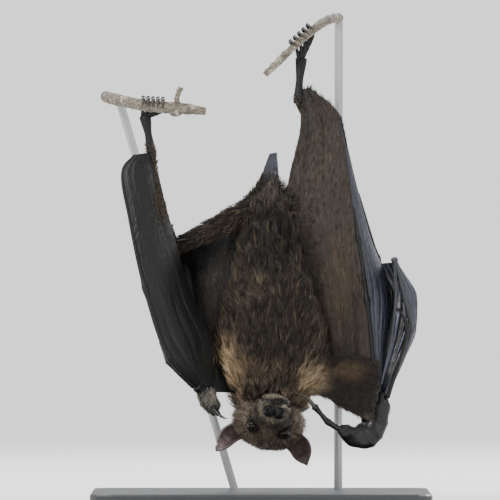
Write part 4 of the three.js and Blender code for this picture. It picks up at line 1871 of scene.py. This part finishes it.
@dataclass
class Ear:
    """A pointed, cupped ear.

    Args:
        name: left or right.
        outer, inner: points on its two edges, as (x, z), from the root.
        tip: its tip.
        notch: how far in a nick cuts its outer edge, in millimetres.
    """

    name: str
    outer: tuple[tuple[float, float], ...]
    inner: tuple[tuple[float, float], ...]
    tip: tuple[float, float]
    notch: float = 0.0

    def build(self, finish: Material) -> None:
        """Makes the ear.

        Args:
            finish: its material.
        """
        edge = [
            [(x, 2 - 2 * i, z) for i, (x, z) in enumerate(points)]
            for points in (self.outer, self.inner)
        ]
        ends = [(self.tip[0] + shift, -3, self.tip[1]) for shift in (-0.5, 0.5)]

        def folds(u: Array, v: Array) -> Array:
            """Works out low cross ridges and a rolled rim.

            Args:
                u, v: places across and along the ear, from 0 to 1.

            Returns:
                The relief in millimetres.
            """
            ridge = 0.1 * np.sin(v * 40) * bell(u, 0.5, 0.22) * smooth_step(0.1, 0.25, v)
            ridge = ridge * (1 - smooth_step(0.6, 0.8, v))
            rim = -0.5 * (bell(u, 0.0, 0.07) + bell(u, 1.0, 0.07)) * (1 - smooth_step(0.8, 0.97, v))
            return ridge + rim

        sheet = Membrane(
            edge[0] + ends[:1], edge[1] + ends[1:], (
                4, 5, 4, 1.5, 0
            ), (0, 1, 0), across=30, along=44, thick=1.0, relief=folds
        )
        shape = sheet.shape()
        if self.notch:
            middle = (np.array(edge[0][2]) * 0.6 + np.array(ends[0]) * 0.4)[None]
            away = np.linalg.norm((shape.corners - middle) * (1, 0.3, 1), axis=1)
            inward = unit(np.array(edge[1][2]) - np.array(edge[0][2]))
            cut = inward * (self.notch * bell(away, 0, 1.3))[:, None]
            shape = Shape(shape.corners + cut, shape.faces)
        add_piece(f"ear_shell_{self.name}", shape, finish, [f"ear_{self.name}"])


EARS = (
    Ear(
        "left", ((-14, 62), (-27, 55.5), (-31.5, 48)), ((-10, 50), (-17.5, 46), (-24.5, 41)),
        (-32.2, 39), 1.4,
    ),
    Ear(
        "right", ((22, 55), (33, 47), (35.6, 38)), ((14, 46), (20.5, 40), (25.5, 33)), (33.2, 28.6)
    ),
)


# ------------------------------------------------------------------ wings
L_TIP, L_BEND, L_END, L_KNUCKLE = (
    -90.5, -42, 251.5
), (-98.6, -46, 241), (-82.5, -68, 156), (-66, -72, 108)
R_KNUCKLE, R_END, R_TIP = (107, -27, 125), (95.4, -36, 177), (86.5, -27, 88)


def creased(
    amount: float, seed: int, folds: float = 5, pucker: float = 0.3
) -> Callable[[Array, Array], Array]:
    """Long folds that run along a wing skin, with small puckers between them.

    Args:
        amount: their height.
        seed: which pattern.
        folds: how many lengthwise folds there are.
        pucker: how strong the puckers are.

    Returns:
        The relief over u and v.
    """

    def relief(u: Array, v: Array) -> Array:
        """Works out the folds and puckers.

        Args:
            u, v: places across and along the skin, from 0 to 1.

        Returns:
            The relief in millimetres.
        """
        p = np.stack([u.ravel() * 10, v.ravel() * 26, np.zeros(u.size)], axis=1)
        drift = soft_noise(p * (1, 0.5, 1), 9, seed).reshape(u.shape)
        strength = 0.65 + 0.5 * soft_noise(p, 12, seed + 1).reshape(u.shape)
        ridge = 1 - np.abs(np.sin((u * folds + drift * 0.28) * math.pi))
        fine = 1 - np.abs(np.sin((u * folds * 2.7 + drift * 0.5) * math.pi))
        crossing = soft_noise(p * (1.0, 1.5, 1.0), 3.4, seed + 2, 3).reshape(u.shape)
        edge = smooth_step(0, 0.06, u) * smooth_step(1, 0.94, u)
        return amount * edge * (
            (ridge**2 * 1.6 - 0.6) * strength + 0.4 * fine**2 + pucker * crossing
        )

    return relief


@dataclass(frozen=True)
class WingSkin:
    """One panel of wing skin.

    Args:
        node: the solid it stands for.
        edge_a, edge_b: its long edges.
        bulge, towards: how its middle stands out.
        amount: the height of its folds.
        folds: how many folds it has.
        pucker: how strong its puckers are.
        seed: which pattern.
        across, along: faces between its long edges and along them.
    """

    node: str
    edge_a: tuple[Point, ...]
    edge_b: tuple[Point, ...]
    bulge: tuple[float, ...]
    towards: Point = (0, -1, 0)
    amount: float = 0.5
    folds: float = 5
    pucker: float = 0.3
    seed: int = 1
    across: int = 40
    along: int = 120

    def sheet(self) -> Membrane:
        """Builds the panel's sheet with its relief."""
        relief = creased(self.amount, self.seed, self.folds, self.pucker)
        return Membrane(
            self.edge_a,
            self.edge_b,
            self.bulge,
            self.towards,
            self.across,
            self.along,
            0.55,
            relief,
        )


WING_SKINS = (
    WingSkin(
        "wing_arm_left",
        ((0, 5, 200), (-8, 6, 175), (-16, 6, 145), (-22, 6, 115), (-20, 5, 98)),
        ((-62, -12, 190), (-58, 14, 172), (-52, 6, 150), (-45, -8, 118), (-39, -20, 90)),
        (3, 6, 4),
        amount=0.45,
        pucker=0.15,
        seed=11,
    ),
    WingSkin(
        "wing_hand_left",
        (L_TIP, L_BEND, (-93, -57, 205), L_END, (-76, -71, 135), L_KNUCKLE, (-46, -38, 86)),
        (
            (-80.5, -36, 253.5), (-75.5, -33, 242), (-69.5, -31, 219), (-60, -29, 184),
            (-50, -27, 152), (-37, -24, 124), (-34, -25, 86),
        ),
        (2, 7, 9, 7, 3),
        (0.2, -1, 0),
        amount=0.45,
        folds=4,
        pucker=0.1,
        seed=21,
        across=56,
        along=170,
    ),
    WingSkin(
        "wing_outer_left",
        (L_TIP, L_BEND, (-93, -57, 205), L_END, (-76, -71, 135), L_KNUCKLE, (-47, -39, 87)),
        (
            (-82, -34, 250), (-74, -14, 220), (-62, 12, 186), (-56, 16, 165), (-50, 5, 138),
            (-44, -9, 110), (-38, -24, 82),
        ),
        (3, 6, 7, 4),
        (-1, 0, 0),
        amount=0.6,
        pucker=0.15,
        seed=31,
        across=50,
    ),
    WingSkin(
        "wing_front_left",
        ((-18, 2, 97), (-20, -5, 89), (-18, -9, 81)),
        ((-48, -2, 138), (-42, -14, 108), (-36, -24, 82)),
        (2,),
        amount=0.3,
        seed=41,
        across=24,
        along=36,
    ),
    WingSkin(
        "wing_arm_right",
        (
            (27.5, -5.5, 299), (28.5, -3, 272), (19, 1, 226), (22, 3, 184), (31, 4, 150),
            (38, 5, 101),
        ),
        (
            (35, -5, 300), (56, -3, 281), (65, -10, 218), (73, -18, 178), (78, -25, 140),
            (80.5, -25, 99),
        ),
        (1, 4, 3, 5, 2),
        (0, 1, 0),
        amount=0.6,
        folds=3,
        pucker=0.06,
        seed=51,
        across=56,
        along=150,
    ),
    WingSkin(
        "wing_hand_right",
        (
            (56.5, -3.5, 281), (61.5, -6.5, 252), (66, -10, 214), (75, -21, 160), (80, -26, 112),
            (82, -24, 74),
        ),
        ((57.4, 0, 280), (66, 6, 240), (80, 4, 190), (94, -6, 151), (88, -14, 112), (86, -18, 76)),
        (0, 2, 3, 2),
        (0.6, -0.8, 0),
        amount=0.6,
        folds=5,
        pucker=0.06,
        seed=61,
        along=160,
    ),
    WingSkin(
        "wing_outer_right",
        ((95.6, -33, 176), (102, -29, 152), (107, -26, 125), (98, -23, 98), (89, -21, 78)),
        ((86, 0, 174), (93.8, -6, 151), (90.5, -11, 128), (88, -15, 100), (86, -18, 80)),
        (6, 14, 11, 5, 1),
        (1, 0.3, 0),
        amount=0.8,
        folds=7,
        pucker=0.06,
        seed=71,
        across=50,
    ),
    WingSkin(
        "wing_front_right",
        ((28, -12, 82), (44, -18, 80), (60, -23, 70), (81, -24.5, 59)),
        ((34, -1, 104), (50, -9, 106), (65, -19, 106.5), (82, -26.5, 105)),
        (3,),
        amount=0.35,
        seed=81,
        across=36,
        along=40,
    ),
    WingSkin(
        "tail_membrane",
        ((14, 4, 220), (12.6, 4.5, 240), (11.4, 5, 254)),
        ((-16, 3, 214), (-3, 4, 230), (6.2, 5, 253)),
        (2, 1, 0),
        (0, 1, 0),
        amount=0.25,
        seed=91,
        across=24,
        along=44,
    ),
)


WING_FURS = (
    WingFur(
        "wing_arm_right", "fur_panel_right", (44, -4, 175), (48, 60, 190), (0.12, 0, 1), 20500, 5.0,
        0.28, 0.6,
    ),
    WingFur(
        "wing_arm_right", "fur_flank_right", (30, 0, 150), (13, 40, 66), (0.6, -0.2, -0.4), 4200,
        9.0, 0.36, 2.4,
    ),
    WingFur(
        "wing_front_right", "fur_arm_right", (54, -14, 92), (48, 46, 40), (0.8, -0.2, -0.5), 11000,
        6.5, 0.36, 2.6,
    ),
    WingFur(
        "wing_arm_left", "fur_panel_left", (-24, 4, 140), (36, 40, 60), (-0.3, 0, 1), 6000, 5.5,
        0.34, 1.2,
    ),
    WingFur(
        "wing_hand_left", "fur_band_left", (-72, -32, 214), (9, 30, 32), (-0.15, 0, 1), 3200, 4.5,
        0.28, 0.7,
    ),
    WingFur(
        "tail_membrane", "fur_tail_membrane", (1, 4, 214), (24, 24, 27), (0.1, 0, 1), 2200, 6.0,
        0.32, 1.6,
    ),
)


WRIST_TUFT = WingFur(
    "hand_left", "fur_wrist_left", (-37, -28, 77), (12, 16, 12), (0.3, -0.2, -1), 1500, 4.5, 0.28,
    1.4,
)


def around(p: Array, start: Point, end: Point) -> Array:
    """Unwraps corners round an axis.

    Args:
        p: the corners.
        start, end: the ends of the axis.

    Returns:
        The turn round the axis and the share along it, from 0 to 1.
    """
    out = p - np.array(start)
    axis = np.array(end) - np.array(start)
    along = out @ axis / (axis @ axis)
    side = unit(np.cross(axis, REARWARD))
    rear = unit(np.cross(side, axis))
    turn = np.arctan2(out @ rear, out @ side) / (2 * math.pi) + 0.5
    return np.stack([turn, np.clip(0.5 + 0.35 * (along - 0.5), 0, 1)], axis=1)


@dataclass(frozen=True)
class Finger:
    """A finger: thin bones with knuckles under tight skin.

    Args:
        node: the solid it stands for.
        points: where it passes.
        knots: which of those are knuckles.
        radius: its half width along it.
    """

    node: str
    points: tuple[Point, ...]
    knots: tuple[int, ...]
    radius: tuple[float, ...] = (1.7, 1.35, 1.2)

    def shape(self) -> Shape:
        """Builds the finger.

        Returns:
            Its solid.
        """
        t = np.linspace(0, 1, 90)
        place = Route(self.points).at(t)
        wide = spread(self.radius, t)
        for k in self.knots:
            away = np.linalg.norm(place - np.array(self.points[k]), axis=1)
            wide = wide + 1.15 * bell(away, 0, 2.6) + 0.3 * bell(away, 4.5, 2.0)
        return loft(self.points, wide, sides=12, steps=len(self.points) * 26)


FINGERS = (
    Finger(
        "finger_third_left", ((-47, -39, 88), L_KNUCKLE, L_END, (-93.5, -57, 205), L_BEND, L_TIP),
        (1, 2), (2.0, 1.7, 1.5, 1.2, 1.0, 0.8),
    ),
    Finger(
        "finger_fourth_left", ((-45, -33, 90), (-62, -46, 112), (-72, -36, 160), (-80, -26, 200)),
        (1, 2),
    ),
    Finger(
        "finger_fifth_left", ((-41, -24, 90), (-54, -16, 125), (-63, -8, 165), (-68, -6, 190)),
        (1, 2),
    ),
    Finger(
        "finger_index_left", ((-49, -42, 86), (-66, -64, 104), (-72, -72, 118)), (1,),
        (1.5, 1.2, 0.8),
    ),
    Finger(
        "finger_fourth_right",
        ((86, -18, 76), (89.5, -12, 120), (94, -6, 151), (84, 2, 178), (70, 6, 224)), (2, 3),
    ),
    Finger(
        "finger_fifth_right",
        ((81, -23, 68), (80, -26, 110), (76, -24, 147), (70, -15, 192), (66.5, -10, 214)), (2, 3),
    ),
    Finger(
        "finger_index_right", ((91, -26, 78), (104.5, -33, 128), (98.5, -35, 141.5)), (1,),
        (1.5, 1.2, 0.8),
    ),
)
FOLDED_FINGER = (
    Finger(
        "finger_third_right", ((88, -22, 76), R_KNUCKLE, (102, -31, 152), R_END), (1, 3),
        (2.1, 1.8, 1.5, 1.5),
    ),
    Finger(
        "finger_third_right", (R_END, (96.3, -35, 150), (93.2, -31, 118), R_TIP), (),
        (1.4, 1.3, 1.1, 0.8),
    ),
)
HANDS = {  # route, half widths and half depths
    "left": (
        ((-46, -36, 86), (-39, -27, 79), (-34.5, -26, 72), (-32.5, -28, 67)), (3.5, 6.5, 5, 2.5),
        (3, 5, 4, 2.5),
    ),
    "right": (
        (
            (57, -27, 55), (62, -26, 52.5), (69, -24, 50), (78, -22, 52), (84, -21, 61),
            (86, -21.5, 71), (87, -21.5, 80),
        ),
        (3.4, 5.4, 9.0, 9.6, 6.6, 5.8, 4.4),
        (2.8, 3.8, 5, 5, 4.4, 4.2, 3.4),
    ),
}
LEFT_THUMB = (
    ((-34.5, -29.4, 70.5), (-33.5, -30, 69), (-31, -32, 66.5), (-30, -32.6, 66)),
    (2.6, 2.2, 1.9, 1.6),
)
RIGHT_THUMB = Finger(
    "thumb_right",
    ((57, -27.6, 55), (48, -30, 60.5), (43, -32, 66), (38.5, -34, 71.3)),
    (1, 3),
    (2.6, 1.5, 1.6, 1.5),
)
CLAWS = {
    "left": ((-31.4, -32, 66.8), (-29, -33.4, 64.8), (-26.4, -34.6, 63.4), (-24, -36, 62.8)),
    "right": ((38.4, -34, 71.4), (35, -35.6, 75.6), (30.6, -36.3, 79.3), (25.2, -36, 81.4)),
}


@dataclass
class Wings:
    """Wing skins, fingers, forearms, hands and thumbs."""

    def build(
        self,
        skin: Material,
        panel: Material,
        strip: Material,
        hide: Material,
        horn: Material,
        fur: Material,
    ) -> None:
        """Makes both wings.

        Args:
            skin: the dark wing skin.
            panel: the browner skin of the broad panel.
            strip: the right wing's outer strip, dark skin with a painted blue sky reflection.
            hide: the glossy skin of the hands and thumbs.
            horn: the claws' finish.
            fur: the short fur's finish.
        """
        finishes = {"wing_arm_right": panel, "wing_front_right": panel}
        # the strip finish, with its painted blue sky reflection, also goes on the right hand skin
        # and the tail membrane
        finishes |= {"wing_hand_right": strip, "wing_outer_right": strip, "tail_membrane": strip}
        for part in WING_SKINS:
            sheet = part.sheet()
            _, _, u, v = sheet.grid()
            # the fold heights, which the skin finishes paint as highlights on the ridges
            ridge = {"ridge": np.tile(sheet.relief(u, v) / part.amount, 2)}
            finish = finishes.get(part.node, skin)
            add_piece(f"{part.node}_skin", sheet.shape(), finish, [part.node], ridge)
        for seed, tufts in enumerate(WING_FURS):
            sheet = next(part for part in WING_SKINS if part.node == tufts.node).sheet()
            tufts.build(sheet.shape(), sheet.chart(), fur, DOWN_SEED + seed)
        for finger in FINGERS:
            add_piece(f"{finger.node}_bones", finger.shape(), skin, [finger.node])
        folded = joined(finger.shape() for finger in FOLDED_FINGER)
        add_piece("finger_third_right_bones", folded, strip, ["finger_third_right"])
        for name, j in (("left", LEFT), ("right", RIGHT)):
            arm = loft((j.elbow, j.wrist), (5, 5.2, 4.4, 3.8, 3.4, 3.3), sides=20, steps=50)
            add_piece(f"forearm_{name}_skin", arm, skin, [f"forearm_{name}"])
        for name, size in (("left", 1.5), ("right", 1.9)):
            palm = loft(*HANDS[name])
            lumps = 0.9 * soft_noise(palm.corners, 9, 5, 1)
            lumps = lumps + 0.15 * soft_noise(palm.corners, 3.5, 6, 1)
            hand = Shape(palm.corners + palm.normals() * lumps[:, None], palm.faces)
            thumb = loft(*LEFT_THUMB) if name == "left" else RIGHT_THUMB.shape()
            add_piece(f"hand_{name}_skin", hand, hide, [f"hand_{name}"])
            add_piece(f"thumb_{name}_skin", thumb, hide, [f"thumb_{name}"])
            if name == "left":
                WRIST_TUFT.build(
                    hand, around(hand.corners, LEFT.wrist, HANDS[name][0][-1]), fur, WRIST_SEED
                )
            claw = loft(
                CLAWS[name],
                (size * 0.8, size * 0.7, size * 0.45, 0.25),
                (size, size * 0.85, size * 0.5, 0.25),
                sides=14,
            )
            add_piece(f"thumb_claw_{name}_horn", claw, horn, [f"thumb_claw_{name}"])


@dataclass(frozen=True)
class Foot:
    """A foot whose five toes hook over a twig.

    Args:
        name: left or right.
        ankle, sole, grip: where it starts, where the toes part and the twig's middle.
        axis: the twig's direction.
        radius: the twig's radius.
        width: how far the toes spread.
        toe: a toe's radius.
    """

    name: str
    ankle: Point
    sole: Point
    grip: Point
    axis: Point
    radius: float
    width: float
    toe: float = 1.45

    def build(self, skin: Material, horn: Material) -> None:
        """Makes the foot and its claws.

        Args:
            skin: the bare skin.
            horn: the claws' finish.
        """
        along = unit(np.array(self.axis, float))
        lift = unit(np.cross(along, (0, 1, 0)))
        lift = lift * (1 if lift[2] > 0 else -1)
        back = unit(np.cross(along, lift))
        back = back * (1 if back[1] > 0 else -1)
        ankle, sole = np.array(self.ankle, float), np.array(self.sole, float)
        shape = loft(
            (ankle, (ankle + sole) / 2, sole), (3.4, 2.6, 4.2), (3.1, 2.3, 2.3), sides=20, steps=24
        )
        claws = []
        reach = self.radius + self.toe + 0.3
        t = np.linspace(0, 1, 70)
        wide = 1.25 + 0.28 * bell(t, 0.52, 0.05) + 0.22 * bell(t, 0.76, 0.05)
        wide += 0.2 * bell(t, 0.97, 0.05)
        wide += 0.1 * np.sin(t * 110)

        def bent(middle: Array, degrees: Sequence[float], beyond: Sequence[float]) -> list[Array]:
            """Points round the twig at these angles, and this far beyond a toe's reach."""
            return [
                middle + back * math.cos(a) * (reach + more) + lift * math.sin(a) * (reach + more)
                for a, more in zip(np.radians(degrees), beyond)
            ]

        for k in range(5):
            shift = (k / 4 - 0.5) * self.width
            middle = np.array(self.grip, float) + along * shift
            toe = bent(middle, (-25, 20, 65, 105), (0, 0.25, 0, 0.25))
            toe.insert(0, sole + along * shift * 0.3)
            shape = shape + loft(toe, wide, sides=12, steps=70)
            hook = bent(middle, (98, 122, 150, 178, 196), (0, 0.7, 0.9, 0.3, -0.6))
            thick, deep = (0.8, 0.75, 0.6, 0.4, 0.18), (1.25, 1.15, 0.85, 0.5, 0.18)
            claws.append(loft(hook, thick, deep, sides=12, steps=30, away=along))
        add_piece(f"foot_{self.name}_skin", shape, skin, [f"foot_{self.name}"])
        add_piece(f"foot_{self.name}_claws", joined(claws), horn)


FEET = (
    Foot("left", (-78.5, -32, 254), (-83, -30, 279), (-77.5, -39.3, 286.4), (1, 0, -0.06), 4.1, 14),
    Foot("right", (26.5, -5, 290), (29, -2, 321), (30.5, -10.3, 336), (1, 0.2, 0.95), 2.9, 17),
)


# ------------------------------------------------------------------ twigs and stand
@dataclass(frozen=True)
class Twig:
    """A short cut twig.

    Args:
        points: its route.
        wide: half widths along it.
        seed: which pattern of bark.
    """

    points: tuple[Point, ...]
    wide: tuple[float, ...]
    seed: int

    def shape(self) -> tuple[Shape, Array]:
        """Builds the twig.

        Returns:
            Its solid, and 1 at each corner of its cut ends.
        """
        twig = loft(
            self.points, self.wide, sides=28, steps=len(self.points) * 28, away=(0, 0, 1), tip=0.08
        )
        rough = soft_noise(twig.corners, 4.5, self.seed, 3) * 0.28
        rough = rough + soft_noise(twig.corners, 15, self.seed + 9) * 0.2
        route, both = Route(self.points), np.array([0.0, 1.0])
        ends, away = route.at(both), route.ahead(both)
        beyond = np.maximum((twig.corners - ends[0]) @ -away[0], (twig.corners - ends[1]) @ away[1])
        cut = (beyond > 0.02).astype(float)
        return Shape(twig.corners + twig.normals() * (rough * (1 - cut))[:, None], twig.faces), cut


TWIGS = {
    "left": (
        Twig(
            (
                (-39.5, -40, 283), (-58, -40, 285), (-80, -39, 286.5), (-96, -20, 290),
                (-106, 8, 292.5), (-112, 30, 294.5),
            ),
            (2.8, 4.2, 4.0, 3.9, 4.2, 4.0),
            3,
        ),
        Twig(((-59.5, -40, 285), (-60, -41, 293), (-57.5, -42, 300)), (2.6, 1.7, 1.9), 5),
    ),
    "right": (
        Twig(
            (
                (2.9, -15, 309.6), (17, -13, 323.5), (31.7, -10, 337), (44, 2, 347), (52, 24, 351),
                (57, 48, 352),
            ),
            (2.3, 2.6, 2.8, 3.0, 3.2, 3.2),
            7,
        ),
    ),
}


@dataclass
class Stand:
    """Twigs, rods and base.

    Args:
        knob: the middle and the half sizes of the knob on the left twig.
    """

    knob: tuple[Point, Point] = ((-61, -40, 281.5), (4.6, 3.4, 2.6))

    def build(self, bark: Material, plate: Material, metal: Material) -> None:
        """Makes the twigs, and finishes the rods and the base.

        Args:
            bark: the twigs' finish.
            plate: the base's finish.
            metal: the rods' finish.
        """
        for name, twigs in TWIGS.items():
            parts = [twig.shape() for twig in twigs]
            if name == "left":
                knob = ball(*self.knob, 28)
                parts.append((knob, np.zeros(len(knob.corners))))
            cut = np.concatenate([mark for _, mark in parts])
            wood = joined(part for part, _ in parts)
            add_piece(f"perch_{name}_twig", wood, bark, [f"perch_{name}"], {"cut": cut})
        for name, finish in (
            ("stand_rod_left", metal), ("stand_rod_right", metal), ("stand_base", plate)
        ):
            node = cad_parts[name]
            node.data.materials.clear()
            node.data.materials.append(finish)


# ------------------------------------------------------------------ floor, light and camera
class Lamp(Enum):
    """The soft lights: place, size, watts and tint."""

    KEY = ((-1.3, -1.9, 1.9), 0.8, 75.6, (1.0, 0.98, 0.95))
    FILL = ((1.9, -1.6, 0.8), 1.6, 17.1, (0.93, 0.96, 1.0))
    RIM = ((1.1, 1.5, 1.6), 0.9, 61.0, (1.0, 1.0, 1.0))
    TOP = ((-0.7, 0.6, 2.2), 1.2, 41.5, (0.96, 0.98, 1.0))


@dataclass
class Studio:
    """The floor, the lights, the world and the camera, in metres.

    Args:
        distance: from the camera to the bat.
        view: how wide the camera sees there.
    """

    distance: float = 6.0
    view: float = 0.36

    def floor(self) -> None:
        """Lays a pale round floor that fades out at its rim."""
        sides, radii = 96, (100, 500, 1500, 3000)
        angle = np.linspace(0, 2 * math.pi, sides, endpoint=False)
        rings = [
            np.stack([np.cos(angle) * r, np.sin(angle) * r, np.zeros(sides)], axis=1) for r in radii
        ]
        corners = np.vstack([[[0, 0, 0]]] + rings)
        k = np.arange(sides)
        faces = [faces_of(0, 1 + k, 1 + (k + 1) % sides), 1 + tube_faces(len(radii), sides)]
        mesh = mesh_of("studio_floor", Shape(corners - (0, 0, 0.5), np.vstack(faces)))
        material, bench, shader, place = new_material("studio_floor_pale")
        surface = {
            "Base Color": bench.mix(
                bench.noise(place, 300.0, 3.0), rgb(226, 225, 222), rgb(234, 233, 230)
            ),
            "Alpha": bench.rise(bench.vector("LENGTH", {0: place}), 0.9, 2.6, 1.0, 0.0),
            "Roughness": 0.9,
        }
        bench.plug(shader, surface)
        mesh.materials.append(material)
        floor = put("studio_floor", mesh)

    def lights(self) -> None:
        """Sets the world and the lamps."""
        world = bpy.data.worlds.new("studio_world")
        world.use_nodes = True
        bench = Bench(world.node_tree)
        seen = bench.add("ShaderNodeLightPath").outputs["Is Camera Ray"]
        level = bench.add(
            "ShaderNodeMapRange", {"Value": seen, "To Min": 1.16, "To Max": 1.6}
        ).outputs["Result"]
        sky = {"Color": (0.86, 0.87, 0.88, 1), "Strength": level}
        bench.plug(world.node_tree.nodes["Background"], sky)
        bpy.context.scene.world = world
        for lamp in Lamp:
            place, size, watts, tint = lamp.value
            data = bpy.data.lights.new(f"studio_{lamp.name.lower()}", "AREA")
            data.shape, data.size, data.energy, data.color = "DISK", size, watts, tint
            light = put(data.name, data)
            light.location = place
            ahead = Vector((0, 0, 0.17)) - Vector(place)
            light.rotation_euler = ahead.to_track_quat("-Z", "Y").to_euler()

    def camera(self) -> None:
        """Sets the camera level with the bat, looking straight at it from far off."""
        data = bpy.data.cameras.new("studio_camera")
        data.sensor_width = 36
        data.lens = data.sensor_width * self.distance / self.view
        data.clip_end = 60
        camera = put("studio_camera", data)
        camera.location = (-0.0079, -self.distance, 0.1836)
        camera.rotation_euler = (math.radians(90), 0, 0)
        bpy.context.scene.camera = camera


def main() -> None:
    logging.basicConfig(level=logging.INFO, format="%(name)s %(message)s")
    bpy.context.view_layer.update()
    studio = Studio()
    studio.camera()
    studio.floor()
    studio.lights()
    shop = Workshop()
    wing = BareSkinFinish(
        "wing_skin_dark", (7, 8, 8), (16, 16, 16), 0.8, 0.00014, (0.46, 0.6), (1, 1, 0.3),
        shine=0.28,
    )
    hide = BareSkinFinish(
        "hand_skin_black", (7, 7, 8), (20, 19, 22), 1.0, 0.00014, (0.24, 0.38), (1, 1, 0.6), 0.05,
        shine=0.3,
    )
    # painted reflection: the strip's blue tint and paler ridges stand for sky reflected on dark
    # skin
    strip = BareSkinFinish(
        "wing_skin_blue_black", (24, 25, 33), (53, 54, 68), 0.9, 0.00016, (0.38, 0.52),
        (1, 1, 0.16), ridge=1.9,
    )
    panel = BareSkinFinish(
        "wing_skin_brown", (36, 30, 26), (52, 43, 35), 0.8, 0.0002, (0.5, 0.66), (1, 1, 0.2),
        ridge=1.1, shine=0.35,
    )
    # painted light: the left ear's finish is a lit copy of the same brown ear skin; its paler,
    # violet tone is painted light and sheen
    ears = (
        BareSkinFinish(
            "ear_skin_violet_brown", (94, 77, 75), (142, 125, 129), 1.4, 0.0001, (0.3, 0.44),
            (1, 1, 1), 0.2,
        ),
        BareSkinFinish(
            "ear_skin_brown", (60, 46, 41), (92, 76, 72), 1.4, 0.0001, (0.36, 0.5), (1, 1, 1), 0.1
        ),
    )
    nose = BareSkinFinish(
        "nose_skin_black", (5, 5, 6), (13, 12, 13), 2.2, 0.0001, (0.36, 0.5), (1, 1, 1), shine=0.22
    )
    horn = ClawFinish().build(shop)
    wing_material = wing.build(shop)
    body = Body()
    body.build(FurFinish("coat_skin", solid=True).build(shop))
    nose_material = nose.build(shop)
    Eyes().build(shop, nose_material)
    Nose().build(nose_material)
    for one, finish in zip(EARS, ears):
        one.build(finish.build(shop))
    fur = FurFinish("coat_fur").build(shop)
    down = FurFinish("wing_down", 0.72, 1.2, 0.15, (0.82, 1.2)).build(shop)
    Wings().build(wing_material, panel.build(shop), strip.build(shop), hide.build(shop), horn, down)
    for foot in FEET:
        foot.build(wing_material, horn)
    plate = StandFinish("base_paint", (30, 31, 33), (46, 47, 50), 0.0, (0.42, 0.6))
    metal = StandFinish(
        "rod_satin_grey", (150, 151, 153), (168, 169, 171), 0.3, (0.38, 0.5), (1, 1, 0.1)
    )
    Stand().build(BarkFinish().build(shop), plate.build(shop), metal.build(shop))
    Coat(body).build(fur)


if __name__ == "__main__":
    main()
